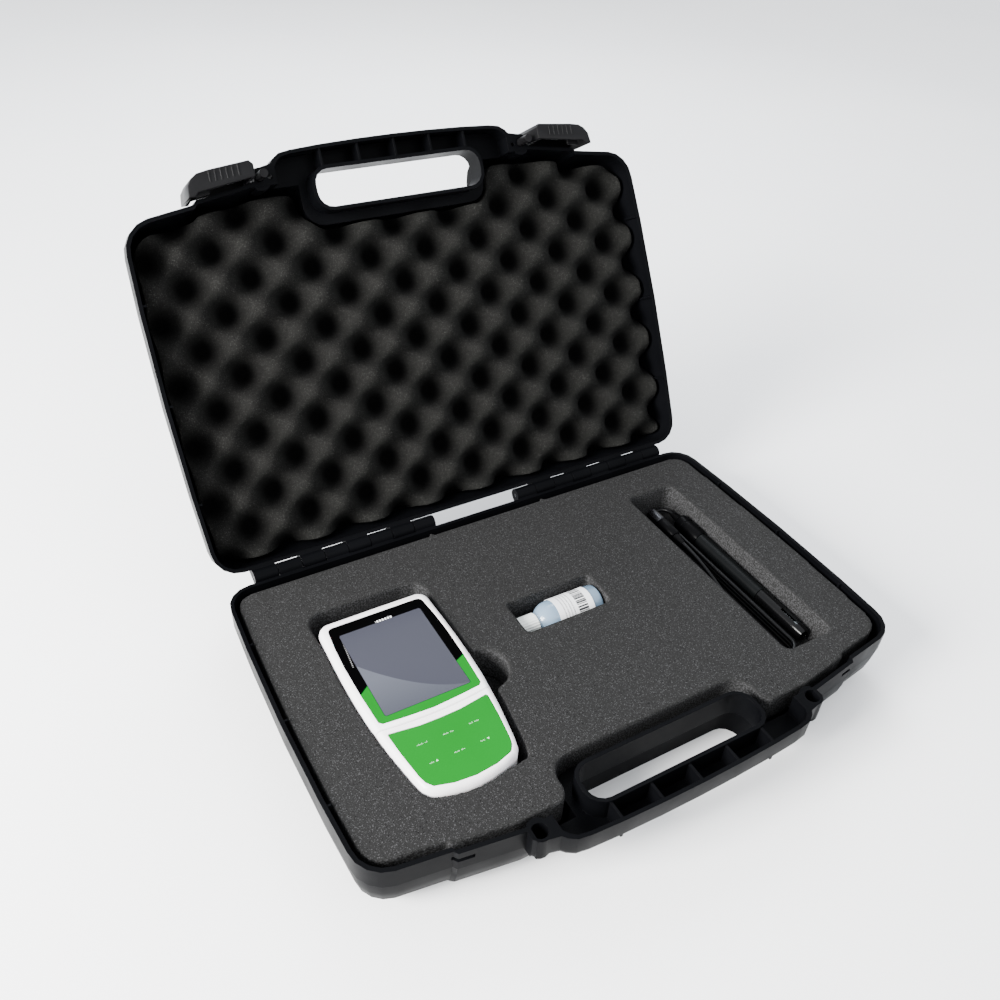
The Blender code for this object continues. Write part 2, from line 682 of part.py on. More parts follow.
def meter_back(frame, mat):
    outline = meter_outline()
    levels = ((0.0, -PARTING), (0.3, -6.0), (1.2, -11.0), (3.4, -15.5), (5.8, -18.0), (8.0, METER_BACK))
    back = loft("meter_back_case", [raised(inward(outline, d), z) for d, z in levels], frame, mat)
    steps = ((METER_WALL, 2.0), (METER_WALL + 0.3, -6.0), (3.6, -10.5), (5.8, -13.8), (8.6, -15.6))
    cut(back, loft("meter_back_hollow", [raised(inward(outline, d), z) for d, z in steps], frame))
    walls = [(-23.0, 23.0, -68.4, -66.9, -16.4, -1.2), (-23.0, 23.0, -10.6, -9.1, -16.4, -1.2)]
    join(back, boxes("meter_back_battery_walls", walls, frame))
    cut(back, boxes("meter_back_track", [(-24.2, 24.2, -95.0, -10.0, -22.0, -17.2)], frame))
    cut(back, boxes("meter_back_battery_door", [(-22.6, 22.6, -66.5, -11.0, -18.0, -14.0)], frame))
    bosses = [(3.6, (x, y, -16.6), 15.7, "Z") for x, y in SCREW_PLACES]
    join(back, cylinders("meter_back_bosses", bosses, frame, sides=16))
    heads = [(2.7, (x, y, -24.0), 9.6, "Z") for x, y in SCREW_PLACES]
    cut(back, cylinders("meter_back_heads", heads, frame, sides=16))
    holes = [(1.5, (x, y, -16.0), 17.0, "Z") for x, y in SCREW_PLACES]
    cut(back, cylinders("meter_back_holes", holes, frame, sides=12))
    cut(back, cylinders("meter_back_socket_hole", [(6.8, (0.0, 72.0, -8.6), 20.0, "Y")], frame, sides=24))
    return back


def meter(frame, mats):
    """Every piece of the handheld meter."""
    meter_front(frame, mats["white"])
    meter_back(frame, mats["white"])
    outline = meter_outline()
    seal = prism("case_seal", inward(outline, 0.5), -0.3, 0.3, frame, mats["rubber"])
    cut(seal, prism("case_seal_inside", inward(outline, 2.2), -2.0, 2.0, frame))

    panel = prism("display_panel", inward(panel_outline(), 0.3), PANEL_BOTTOM, PANEL_TOP, frame, mats["panel"])
    cut(panel, prism("display_panel_hole", rounded_box(32.0, -12.7, 67.9, 1.8), 8.0, 13.0, frame))
    window = rounded_box(31.7, -12.4, 67.6, 1.5)
    prism("display_window", window, PANEL_BOTTOM, PANEL_TOP, frame, mats["window"])
    boxes("display_module", [(-33.6, 33.6, -14.0, 70.0, 3.0, 7.4)], frame, mats["display"], bevel=0.4)

    board = prism("main_board", inward(outline, 4.2), 0.8, 2.4, frame, mats["board"])
    clear = [(4.1, (x, y, -1.0), 5.0, "Z") for x, y in SCREW_PLACES]
    cut(board, cylinders("main_board_holes", clear, frame, sides=16))

    pad = prism("keypad_overlay", inward(keypad_outline(), 0.3), PANEL_BOTTOM, PANEL_TOP, frame, mats["green"])
    half_x, half_y = KEY_SIZE[0] / 2, KEY_SIZE[1] / 2
    holes = []
    for column, x in enumerate(KEY_COLUMNS):
        for row, y in enumerate(KEY_ROWS):
            holes.append((x - half_x - 0.3, x + half_x + 0.3, y - half_y - 0.3, y + half_y + 0.3, 8.0, 13.0))
            cap = (x - half_x, x + half_x, y - half_y, y + half_y, 9.75, PANEL_TOP)
            key = boxes(key_name(column, row), [cap], frame, mats["green"], bevel=0.25)
            stem = cylinders(key.name + "_stem", [(2.2, (x, y, 3.1), 7.0, "Z")], frame, sides=12)
            join(key, stem)
    cut(pad, boxes("keypad_overlay_holes", holes, frame))

    cover = boxes("battery_cover", [(-23.9, 23.9, -73.0, -10.3, -18.9, -17.5)], frame, mats["white"], bevel=0.3)
    grooves = [(-9.0, 9.0, -68.0 + 3.0 * k, -67.0 + 3.0 * k, -20.0, -18.5) for k in range(5)]
    cut(cover, boxes("battery_cover_grip", grooves, frame))

    profile = [(0.0, 25.2), (2.7, 25.2), (2.7, 24.0), (6.6, 24.0), (7.05, 23.5), (7.05, -24.6), (6.6, -25.0)]
    for k in range(3):
        place = (BATTERY_PITCH * (k - 1), -38.75, -7.6)
        cell = turned("battery_%d" % (k + 1), profile + [(0.0, -25.0)], frame, mats["battery"], place, "Y", 20)
        if k == 1:
            cell.rotation_euler = Matrix.Rotation(math.pi / 2, 4, "X").to_euler()
    for label, y0, y1 in (("foot", -66.4, -65.9), ("head", -11.6, -11.1)):
        boxes("battery_contact_" + label, [(-21.0, 21.0, y0, y1, -13.6, -1.6)], frame, mats["steel"])

    for k, (x, y) in enumerate(SCREW_PLACES):
        screw = cylinders("case_screw_%d" % (k + 1), [(2.3, (x, y, -16.4), 1.6, "Z")], frame, mats["steel"], sides=16)
        join(screw, cylinders(screw.name + "_shank", [(1.2, (x, y, -15.2), 20.6, "Z")], frame, sides=10))
        cut(screw, boxes(screw.name + "_slot", [(x - 1.7, x + 1.7, y - 0.35, y + 0.35, -17.4, -15.7)], frame))

    profile = [(4.4, 8.0), (6.0, 8.0), (6.4, 7.6), (6.4, -4.0), (0.0, -4.0), (0.0, 0.5), (4.4, 0.5)]
    socket = turned("probe_socket", profile, frame, mats["black"], (0.0, 80.0, -8.6), "Y", 24)
    close_profile(socket)


def close_profile(obj):
    """Joins the last point of a turned profile to the first, for a ring or a blind bore."""
    mesh = obj.data
    bm = bmesh.new()
    bm.from_mesh(mesh)
    bm.verts.ensure_lookup_table()
    bm.edges.new((bm.verts[-1], bm.verts[0]))
    bm.to_mesh(mesh)
    bm.free()


# The bottle


def bottle(frame, mats):
    """The bottle lies on its side: heights are measured from its foot to its cap."""
    turn = "X"
    body = [(0.0, 1.6), (12.0, 1.6), (12.6, 2.6), (12.6, 42.6), (11.0, 47.4), (6.9, 51.6), (5.8, 53.0), (5.8, 64.0)]
    body += [(7.2, 64.0), (7.2, 55.0), (8.6, 54.4), (8.6, 53.2), (11.0, 50.6), (13.2, 46.6), (14.0, 42.6)]
    body += [(14.0, 2.4), (13.2, 0.6), (11.6, 0.0), (0.0, 0.0)]
    tube = turned("bottle_body", body, frame, mats["bottle"], (0.0, 0.0, 0.0), turn, 32)
    tube.rotation_euler = Matrix.Rotation(-math.pi / 2, 4, "Y").to_euler()

    plug = [(0.0, 68.2), (1.4, 68.2), (2.3, 65.4), (6.8, 65.4), (6.8, 64.3), (5.4, 64.3), (5.4, 56.5), (0.0, 56.5)]
    dropper = turned("bottle_dropper", plug, frame, mats["bottle"], (0.0, 0.0, 0.0), turn, 24)
    dropper.rotation_euler = tube.rotation_euler

    sleeve = [(14.3, 40.0), (14.55, 40.0), (14.55, 9.0), (14.3, 9.0)]
    label = turned("bottle_label", sleeve, frame, mats["label"], (0.0, 0.0, 0.0), turn, 32)
    label.rotation_euler = tube.rotation_euler
    close_profile(label)

    ribs = 28
    grip = []
    for k in range(ribs * 2):
        angle = math.pi * k / ribs
        radius = 9.2 if k % 2 else 8.8
        grip.append((radius * math.cos(angle), radius * math.sin(angle)))
    rings = [(-55.2, 0.985), (-55.8, 1.0), (-69.8, 1.0), (-70.6, 0.93)]
    cap = loft("bottle_cap", [[(x, y * s, z * s) for y, z in grip] for x, s in rings], frame, mats["cap"])
    cut(cap, cylinders("bottle_cap_bore", [(7.7, (-69.2, 0.0, 0.0), 20.0, "X")], frame, sides=24))


# The probe


def probe(frame, mats):
    """The probe lies along Y: heights are measured from its tip to its cable."""

    def piece(name, profile, mat, sides=24, closed=False):
        obj = turned(name, profile, frame, mats[mat], (0.0, 0.0, 0.0), "Y", sides)
        if closed:
            close_profile(obj)
        return obj

    piece("probe_cap", [(0.0, 154.0), (5.6, 154.0), (7.0, 152.6), (7.4, 151.0), (7.4, 145.0), (6.9, 144.6),
                        (6.9, 143.4), (7.4, 143.0), (7.4, 128.0), (6.6, 125.3), (0.0, 125.3)], "black")
    piece("probe_barrel", [(0.0, 125.0), (6.2, 125.0), (6.2, 50.0), (5.2, 49.7), (5.2, 42.0), (0.0, 42.0)], "grey")
    piece("probe_guard", [(5.5, 49.4), (6.0, 49.4), (6.0, 12.0), (5.2, 2.0), (4.6, 0.0), (3.4, 0.0), (3.9, 2.6),
                          (4.6, 12.0), (4.6, 41.0), (5.5, 41.0)], "gloss", closed=True)
    guard = bpy.data.objects["probe_guard"]
    windows = [(-1.6, 1.6, 8.0, 26.0, -9.0, 9.0)]
    cut(guard, boxes("probe_guard_windows", windows, frame))
    piece("probe_sensor", [(0.0, 41.7), (3.0, 41.7), (3.0, 14.0), (3.7, 11.0), (3.4, 7.6), (2.0, 5.6), (0.0, 5.2)], "glass")
    piece("cable_strain_relief", [(0.0, 164.0), (2.1, 164.0), (3.0, 157.0), (3.4, 154.3), (0.0, 154.3)], "rubber")


def smooth_route(points, spacing):
    """Points along a smooth curve through the route's own points, about spacing apart."""
    knots = [Vector(point) for point in points]
    knots = [knots[0] * 2 - knots[1]] + knots + [knots[-1] * 2 - knots[-2]]
    route = []
    for before, start, end, after in zip(knots, knots[1:], knots[2:], knots[3:]):
        steps = max(1, round((end - start).length / spacing))
        for k in range(steps):
            t = k / steps
            route.append(
                0.5
                * (
                    2 * start
                    + (end - before) * t
                    + (2 * before - 5 * start + 4 * end - after) * t * t
                    + (3 * start - before - 3 * end + after) * t * t * t
                )
            )
    route.append(knots[-2])
    return route


def tube(name, points, frame, mat):
    """A stretch of the cable."""
    curve = bpy.data.curves.new(name, "CURVE")
    curve.dimensions = "3D"
    curve.bevel_depth = CORD_RADIUS * MM
    curve.bevel_resolution = 2
    curve.use_fill_caps = True
    route = smooth_route(points, CORD_RADIUS * 4.4)
    spline = curve.splines.new("POLY")
    spline.points.add(len(route) - 1)
    for point, place in zip(spline.points, route):
        point.co = (*(place * MM), 1.0)
    curve.materials.append(mat)
    obj = bpy.data.objects.new(name, curve)
    obj.parent = frame
    parts.objects.link(obj)
    return obj


def cable(case, mats):
    """The probe's cable: a turn out of the probe, the hank beside it, and its plug."""
    x, _, z = PROBE_AT
    exit_y = CORD_EXIT_Y + 0.3
    # A half turn of 9.2 mm radius from the probe back into the hank.
    turn_y = exit_y + 2.6
    hank_x = x - 18.4
    route = [(x, exit_y, z), (x, exit_y + 1.3, z)]
    route += [(px, py, z) for px, py in arc((x - 9.2, turn_y), 9.2, 0, 180, 6)]
    route += [(hank_x, exit_y + 0.6, z), (hank_x, HANK_Y[1] + 0.3, z)]
    tube("cable_from_probe", route, case, mats["cable"])

    cx, cy, cz = CONNECTOR_AT
    tail = cy - 44.3
    down = [(cx, tail, cz), (cx, tail - 6.0, cz), (cx + 0.5, tail - 16.0, cz - 0.6), (cx + 1.5, tail - 26.0, cz - 1.9)]
    down += [(cx + 2.5, tail - 36.0, cz - 3.2)]
    tube("cable_to_plug", down, case, mats["cable"])

    r = HANK_HALF_WIDTH
    y0, y1 = HANK_Y
    outline = arc((HANK_X, y1 - r), r, 180, 0, 8) + arc((HANK_X, y0 + r), r, 0, -180, 8)
    prism("cable_hank", outline, HANK_Z[0], HANK_Z[1], case, mats["cable"], bevel=1.2)

    frame = empty("connector_frame", CONNECTOR_AT, case)
    ring = [(4.3, 0.0), (5.2, 0.0), (5.4, -0.6), (5.4, -13.0), (4.4, -13.8), (4.3, -13.8)]
    shell = turned("connector_ring", ring, frame, mats["steel"], (0.0, 0.0, 0.0), "Y", 24)
    close_profile(shell)
    core = [(0.0, -1.0), (3.9, -1.0), (3.9, -14.1), (5.0, -14.1), (5.3, -15.0), (5.3, -32.0), (4.2, -34.0), (0.0, -34.0)]
    turned("connector_body", core, frame, mats["black"], (0.0, 0.0, 0.0), "Y", 24)
    boot = [(0.0, -34.3), (3.4, -34.3), (2.3, -44.0), (0.0, -44.0)]
    turned("connector_boot", boot, frame, mats["rubber"], (0.0, 0.0, 0.0), "Y", 16)


def build():
    start_scene()
    mats = {
        "shell": material("case plastic", (0.018, 0.018, 0.021), 0.42),
        "foam": material("base foam", (0.055, 0.055, 0.055), 0.95),
        "lid_foam": material("lid foam", (0.030, 0.027, 0.025), 0.95),
        "white": material("meter white", (0.80, 0.76, 0.77), 0.35),
        "panel": material("panel black", (0.010, 0.010, 0.012), 0.15),
        "green": material("keypad green", (0.06, 0.48, 0.07), 0.40),
        "window": material("window glass", (0.45, 0.47, 0.52), 0.08, alpha=0.35),
        "display": material("display grey", (0.20, 0.21, 0.25), 0.30),
        "board": material("circuit board", (0.02, 0.16, 0.06), 0.50),
        "battery": material("battery wrap", (0.05, 0.05, 0.06), 0.35),
        "steel": material("plated steel", (0.62, 0.62, 0.64), 0.28, metallic=1.0),
        "bottle": material("bottle plastic", (0.50, 0.56, 0.64), 0.30, alpha=0.85),
        "cap": material("cap white", (0.80, 0.80, 0.78), 0.45),
        "label": material("label paper", (0.86, 0.86, 0.86), 0.60),
        "black": material("probe black", (0.014, 0.015, 0.016), 0.38),
        "grey": material("probe grey", (0.040, 0.044, 0.046), 0.42),
        "gloss": material("guard black", (0.012, 0.012, 0.013), 0.16),
        "glass": material("sensor glass", (0.55, 0.60, 0.62), 0.10),
        "rubber": material("rubber", (0.020, 0.020, 0.021), 0.60),
        "cable": material("cable black", (0.018, 0.018, 0.020), 0.36),
    }
    case = empty("case_frame", (0.0, -CENTRE_Y, BASE_DEPTH))
    lid = empty("lid_frame", (0.0, 0.0, 0.0), case, (-OPEN_ANGLE, 0.0, 0.0))

    base_shell(case, mats["shell"])
    lid_shell(lid, mats["shell"])
    hinge_pins(case, mats["steel"])
    for side in (-1, 1):
        latch(side, lid, mats["shell"], mats["steel"])
    base_foam(case, mats["foam"])
    lid_foam(lid, mats["lid_foam"])
    meter(empty("meter_frame", METER_AT, case), mats)
    bottle(empty("bottle_frame", BOTTLE_AT, case), mats)
    probe(empty("probe_frame", PROBE_AT, case), mats)
    cable(case, mats)


build()
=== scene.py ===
"""The looks of a portable water quality test kit: its materials, foams, keypad and cable."""

import math

import bmesh
import bpy
from mathutils import Matrix, Vector


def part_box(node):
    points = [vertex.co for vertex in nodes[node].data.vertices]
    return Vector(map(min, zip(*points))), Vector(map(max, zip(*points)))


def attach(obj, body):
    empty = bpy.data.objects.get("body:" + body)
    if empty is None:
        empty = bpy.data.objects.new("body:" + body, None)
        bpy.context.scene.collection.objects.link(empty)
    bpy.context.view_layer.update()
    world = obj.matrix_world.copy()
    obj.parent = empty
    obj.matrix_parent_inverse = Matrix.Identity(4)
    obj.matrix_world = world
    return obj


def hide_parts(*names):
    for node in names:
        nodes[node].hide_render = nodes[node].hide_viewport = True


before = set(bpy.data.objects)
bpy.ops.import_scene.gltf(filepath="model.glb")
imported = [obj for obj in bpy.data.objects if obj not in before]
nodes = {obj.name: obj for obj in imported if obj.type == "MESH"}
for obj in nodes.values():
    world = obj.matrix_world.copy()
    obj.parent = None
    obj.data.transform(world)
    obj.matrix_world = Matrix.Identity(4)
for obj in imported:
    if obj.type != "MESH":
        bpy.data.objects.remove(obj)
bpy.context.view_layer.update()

# Measures are in millimetres in the case's own coordinates, unless they say otherwise:
# x 0 in the middle, y 0 at the hinge and negative towards the front, z 0 at the base's rim.

MM = 0.001
HINGE_Y = 139.0  # in the frame, as is the rim's height
RIM_Z = 50.0
LID_ANGLE = math.radians(119.84)

# The foams
BASE_FOAM_TOP = -3.0
BASE_FOAM_ROUNDS = 4
CUT_OUT_VOXEL = 0.0013  # voxels are in metres
FLOOR_VOXEL = 0.003
BED_VOXEL = 0.0012
BASE_FOAM_SEAMS = (-46.0, 60.0)
SEAM_BRIDGE_HALF = 1.5
SEAM_BRIDGE_Y = (-243.5, -10.0)
SEAM_BRIDGE_FOOT = -32.0
LID_FOAM_FACE = 8.0
CRATE_VOXEL = 0.0018
CRATE_ROUNDS = 2
CRATE_MERGE_METRES = 0.0004
CRATE_DEPTH = 24.0
CRATE_HOLE = (91.0, -241.0)
CRATE_PITCH = (49.0, 46.0)
CRATE_WAVE_SHARE = 0.45
CRATE_HOLLOW_SHARE = 0.55
CRATE_HOLLOW_SPREAD = 0.048
SPECKS_FROM = 0.605

# The cable, and its hank of long turns on the slot's floor
CABLE_RADIUS = 1.75
CABLE_EXIT = (166.2, -62.0, -21.5)
CABLE_PLUG_END = (141.9, -105.0, -12.6)
FIRST_TURN_Y = -59.0
FIRST_TURN_RADIUS = 9.2
SETTLED_Y = -100.0
HANK_X = 141.7
HANK_TURN_RADIUS = 10.95
HANK_ENDS = (-225.0, -74.7)
HANK_FIRST_Z = -27.05
HANK_LAYER = 3.6
HANK_TURNS = 3
HALF_TURN_STEPS = 14
LONG_RUN_STEPS = 10
SETTLED_RUN_STEPS = 8
PLUG_RUN_STEPS = 16

# The keypad, from the meter's centre and its top
METER_LOW, METER_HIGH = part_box("meter_front_case")
METER_X = (METER_LOW.x + METER_HIGH.x) / 2 / MM
METER_Y = (METER_LOW.y + METER_HIGH.y) / 2 / MM
METER_TOP = METER_HIGH.z / MM
KEY_COLUMNS = (-19.5, -1.0, 17.5)
KEY_ROWS = (-43.0, -58.8)
KEY_HALF = (6.0, 4.5)
KEY_HOLE_Z = (-3.0, 2.0)
FILM_TOP = -0.03
FILM_FOOT = -1.03
FILM_EDGE = 0.22
MARK_Z = (FILM_TOP - 0.02, FILM_TOP + 0.06)
MARK_BAR_PITCH = 0.68
MARK_BAR_WIDTH = 0.22
MARK_BAR_FEET = (-0.40, -0.50)
MARK_BAR_SHORT = 0.20
MARK_BAR_TALL = 0.62
MARK_BARS = {  # for each key, where each group of bars starts, and how many bars it has
    1: ((-4.2, 7), (1.4, 3)),
    2: ((-4.0, 6), (1.0, 4)),
    3: ((-3.4, 4), (0.4, 5)),
    4: ((-3.0, 5),),
    5: ((-4.0, 6), (1.0, 4)),
    6: ((-3.4, 5),),
}
MARK_TRIANGLES = {
    4: ((1.3, -0.6), (3.1, -0.6), (2.2, 0.9)),
    6: ((1.2, 0.7), (2.1, -0.8), (3.0, 0.7)),
}
CORNER_CUT_SHARE = 0.25  # of an edge, and never longer than this:
CORNER_CUT_REACH = 1.6
FILM_RIGHT_HALF = (
    (0.0, -29.9),
    (15.0, -29.5),
    (35.6, -26.6),
    (36.5, -27.5),
    (34.9, -45.0),
    (32.2, -64.4),
    (30.7, -70.0),
    (27.3, -74.4),
    (15.0, -78.1),
    (0.0, -79.5),
)

# The meter's bar between display and keypad: a fine seam that sags towards the middle
BAR_HALF_WIDTH = 42.6
BAR_SEAM_Y = -24.2
BAR_SEAM_SAG = 3.2
BAR_SEAM_SHARPNESS = 1.6

# The display panel's printed areas, from the meter's centre
GREEN_LEFT_POINT, GREEN_LEFT_SLOPE = (-39.4, 11.0), 0.74
GREEN_RIGHT_POINT, GREEN_RIGHT_SLOPE = (32.8, 9.6), 0.467
NAME_BLOCKS_X = (-3.2, 9.6)
NAME_BLOCKS_Y = (67.0, 69.6)
NAME_BLOCKS_PITCH = 2.1
SIDE_DASHES_POINT, SIDE_DASHES_LEAN = (66.0, -31.1), 0.096
SIDE_DASHES_HALF = 0.42
SIDE_DASHES_Y = (36.0, 66.5)
SIDE_DASHES_PITCH = 1.7

# The display's curved reflection is a parabola: height, slope and bend
REFLECTION = (-3.29, 0.763, -0.00847)

# The bottle's label
BOTTLE_Y = -124.5
BOTTLE_Z = -18.0
LABEL_RADIUS = 14.5
LABEL_BARS_X = (17.4, 26.2)
LABEL_LINES_X = (4.5, 15.8)
LABEL_LINES_PITCH = 2.6

# Shading of the CAD solids
SMOOTH_BELOW = math.radians(33.0)
WELD_METRES = 0.00002


def placed(x, y, z):
    """A point of the case in the frame's metres."""
    return Vector((x * MM, (y + HINGE_Y) * MM, (z + RIM_Z) * MM))


# From the frame to the lid's own metres, in which the lid is closed.
TO_LID = Matrix.Rotation(LID_ANGLE, 4, "X") @ Matrix.Translation(
    (0.0, -HINGE_Y * MM, -RIM_Z * MM)
)


def add_camera():
    data = bpy.data.cameras.new("camera")
    data.lens = 33.87
    data.sensor_width = 36.0
    data.shift_x = -0.00185
    data.shift_y = 0.00033
    data.clip_start = 0.01
    camera = bpy.data.objects.new("camera", data)
    camera.matrix_world = Matrix(
        (
            (0.86665, 0.27360, -0.41720, -0.3088),
            (-0.49635, 0.55734, -0.66559, -0.3957),
            (0.05042, 0.78391, 0.61882, 0.5462),
            (0.0, 0.0, 0.0, 1.0),
        )
    )
    bpy.context.scene.collection.objects.link(camera)
    bpy.context.scene.camera = camera


# Materials


def scaled(colour, factor):
    """A colour times a factor."""
    return tuple(c * factor for c in colour)


class Nodes:
    """A material's nodes, joined by short calls."""

    def __init__(self, name, roughness=0.5, metallic=0.0, specular=0.5, **settings):
        self.material = bpy.data.materials.new(name)
        self.material.use_nodes = True
        self.tree = self.material.node_tree
        self.shader = self.tree.nodes["Principled BSDF"]
        self.shader.inputs["Roughness"].default_value = roughness
        self.shader.inputs["Metallic"].default_value = metallic
        self.shader.inputs["Specular IOR Level"].default_value = specular
        for label, value in settings.items():
            self.shader.inputs[label.replace("_", " ")].default_value = value
        self.place = self.node("ShaderNodeTexCoord").outputs["Object"]

    def node(self, kind, **settings):
        made = self.tree.nodes.new(kind)
        for label, value in settings.items():
            setattr(made, label, value)
        return made

    def join(self, source, target):
        self.tree.links.new(source, target)

    def noise(self, scale, detail=2.0, roughness=0.5):
        made = self.node("ShaderNodeTexNoise")
        made.inputs["Scale"].default_value = scale
        made.inputs["Detail"].default_value = detail
        made.inputs["Roughness"].default_value = roughness
        self.join(self.place, made.inputs["Vector"])
        return made.outputs["Fac"]

    def ramp(self, source, stops):
        """stops are (position, value), each value a grey or a colour."""
        made = self.node("ShaderNodeValToRGB")
        elements = made.color_ramp.elements
        while len(elements) < len(stops):
            elements.new(0.5)
        for element, (position, value) in zip(elements, stops):
            element.position = position
            colour = value if isinstance(value, tuple) else (value, value, value)
            element.color = (*colour, 1.0)
        self.join(source, made.inputs["Fac"])
        return made.outputs["Color"]

    def drift(self, scale, detail, low, high, high_from=0.7):
        """A noise that drifts between two greys or two colours."""
        return self.ramp(self.noise(scale, detail), ((0.3, low), (high_from, high)))

    def maths(self, operation, a, b=None, c=None, clamp=False):
        made = self.node("ShaderNodeMath", operation=operation, use_clamp=clamp)
        for socket, value in zip(made.inputs, (a, b, c)):
            if value is None:
                continue
            if isinstance(value, (int, float)):
                socket.default_value = value
            else:
                self.join(value, socket)
        return made.outputs[0]

    def axes(self):
        """The point's x, y and z in millimetres, in the case's own coordinates."""
        split = self.node("ShaderNodeSeparateXYZ")
        self.join(self.place, split.inputs["Vector"])
        x = self.maths("MULTIPLY", split.outputs["X"], 1.0 / MM)
        y = self.maths("MULTIPLY_ADD", split.outputs["Y"], 1.0 / MM, -HINGE_Y)
        z = self.maths("MULTIPLY_ADD", split.outputs["Z"], 1.0 / MM, -RIM_Z)
        return x, y, z

    def meter_axes(self):
        """The point's x and y in millimetres from the meter's centre."""
        x, y, _ = self.axes()
        own_x = self.maths("SUBTRACT", x, METER_X)
        own_y = self.maths("SUBTRACT", y, METER_Y - HINGE_Y)
        return own_x, own_y

    def above_line(self, x, y, point, slope):
        """How far y lies above the line through the point."""
        at_x, at_y = point
        return self.maths("ADD", y, self.maths("MULTIPLY_ADD", x, -slope, slope * at_x - at_y))

    def step(self, value, edge, soft=0.1):
        """1 where value is above edge, with a short soft change."""
        made = self.node("ShaderNodeMapRange", interpolation_type="SMOOTHSTEP")
        self.join(value, made.inputs["Value"])
        made.inputs["From Min"].default_value = edge - soft
        made.inputs["From Max"].default_value = edge + soft
        return made.outputs["Result"]

    def band(self, value, low, high, soft=0.1):
        """1 where value lies between low and high."""
        below = self.maths("SUBTRACT", 1.0, self.step(value, high, soft))
        return self.maths("MULTIPLY", self.step(value, low, soft), below)

    def stripes(self, value, pitch, edge, soft):
        """1 on the parts of each pitch where a sine wave is above edge."""
        wave = self.maths("SINE", self.maths("MULTIPLY", value, math.tau / pitch))
        return self.step(wave, edge, soft)

    def mix(self, factor, a, b):
        made = self.node("ShaderNodeMix", data_type="RGBA")
        self.join(factor, made.inputs[0])
        for socket, value in ((made.inputs[6], a), (made.inputs[7], b)):
            if isinstance(value, tuple):
                socket.default_value = (*value, 1.0)
            else:
                self.join(value, socket)
        return made.outputs[2]

    def colour(self, source):
        self.join(source, self.shader.inputs["Base Color"])

    def rough(self, source):
        self.join(source, self.shader.inputs["Roughness"])

    def bump(self, heights, edge_radius=0.0):
        """heights are (source, strength, distance in metres), each on top of the one before."""
        normal = None
        if edge_radius:
            bevel = self.node("ShaderNodeBevel", samples=4)
            bevel.inputs["Radius"].default_value = edge_radius
            normal = bevel.outputs["Normal"]
        for source, strength, distance in heights:
            made = self.node("ShaderNodeBump")
            made.inputs["Strength"].default_value = strength
            made.inputs["Distance"].default_value = distance
            self.join(source, made.inputs["Height"])
            if normal:
                self.join(normal, made.inputs["Normal"])
            normal = made.outputs["Normal"]
        self.join(normal, self.shader.inputs["Normal"])

    def grain(self, scale, strength, distance=0.0001, edge_radius=0.0):
        """A fine even grain, with edges rounded in the shading."""
        self.bump(((self.noise(scale), strength, distance),), edge_radius)


def moulded(name, dark, light, roughness, grain=1400.0, strength=0.12, edge=0.0004, **settings):
    """Moulded plastic or rubber: a fine grain, faint cloudiness and slightly uneven gloss."""
    m = Nodes(name, **settings)
    m.colour(m.drift(18.0, 3.0, dark, light))
    m.rough(m.drift(45.0, 4.0, *roughness, high_from=0.72))
    m.grain(grain, strength, 0.0002, edge)
    return m.material


def metal(name, colour, roughness):
    """Plain metal with a faint brushed unevenness."""
    m = Nodes(name, metallic=1.0)
    m.colour(m.drift(60.0, 3.0, colour, scaled(colour, 1.15)))
    m.rough(m.drift(900.0, 2.0, *roughness))
    m.grain(1800.0, 0.05, edge_radius=0.0002)
    return m.material


def foam(name, base, speck, hollow, crate=False):
    """Foam with fine open cells, light specks where cell walls shine, and a slow tone change."""
    m = Nodes(name, roughness=0.95, specular=0.06)
    tone = m.drift(9.0, 3.0, scaled(base, 0.92), scaled(base, 1.06))
    fine = m.noise(1500.0, 1.0)
    specks = m.ramp(fine, ((SPECKS_FROM, 0.0), (SPECKS_FROM + 0.08, 0.48)))
    grains = m.ramp(m.noise(620.0, 3.0, 0.6), ((0.36, 0.0), (0.64, 1.0)))
    pits = m.ramp(m.noise(760.0), ((0.30, 0.8), (0.38, 0.0)))
    mottled = m.mix(grains, scaled(base, 0.84), tone)
    shade = m.mix(pits, m.mix(specks, mottled, speck), hollow)
    if crate:
        # Painted shade: the egg-crate's hollows darken towards their bottoms.
        shade = m.mix(painted_crate_shade(m), shade, scaled(hollow, 0.22))
    else:
        # A knife-cut side shows open cells, and upright faces are painted lighter than the skin on
        # top: partly these cells, partly painted light as from a low lamp on the slot's walls.
        open_cells = m.ramp(m.noise(800.0, 2.0, 0.7), ((0.46, 0.0), (0.60, 1.0)))
        cut_side_painted_light = m.mix(open_cells, scaled(base, 0.9), scaled(speck, 0.55))
        shade = m.mix(upright(m), shade, cut_side_painted_light)
    m.colour(shade)
    m.bump(((m.noise(420.0), 0.35, 0.0005), (fine, 0.6, 0.0004)))
    return m.material


def upright(m):
    """Nearly 1 on upright faces, 0 on level ones."""
    facing = m.node("ShaderNodeSeparateXYZ")
    m.join(m.node("ShaderNodeTexCoord").outputs["Normal"], facing.inputs["Vector"])
    level = m.maths("ABSOLUTE", facing.outputs["Z"])
    side = m.maths("SUBTRACT", 1.0, level, clamp=True)
    return m.ramp(side, ((0.35, 0.0), (0.75, 0.8)))


def painted_crate_shade(m):
    """0 at the egg-crate's peaks, 1 deep in its hollows: painted shade, darker the deeper a point
    lies.
    """
    _, y, z = m.axes()
    across = m.maths("MULTIPLY", y, math.sin(LID_ANGLE))
    depth = m.maths("ADD", across, m.maths("MULTIPLY", z, math.cos(LID_ANGLE)))
    low = m.maths("MULTIPLY_ADD", depth, 1.0 / CRATE_DEPTH, -LID_FOAM_FACE / CRATE_DEPTH)
    return m.ramp(low, ((0.06, 0.0), (0.36, 0.42), (0.82, 1.0)))


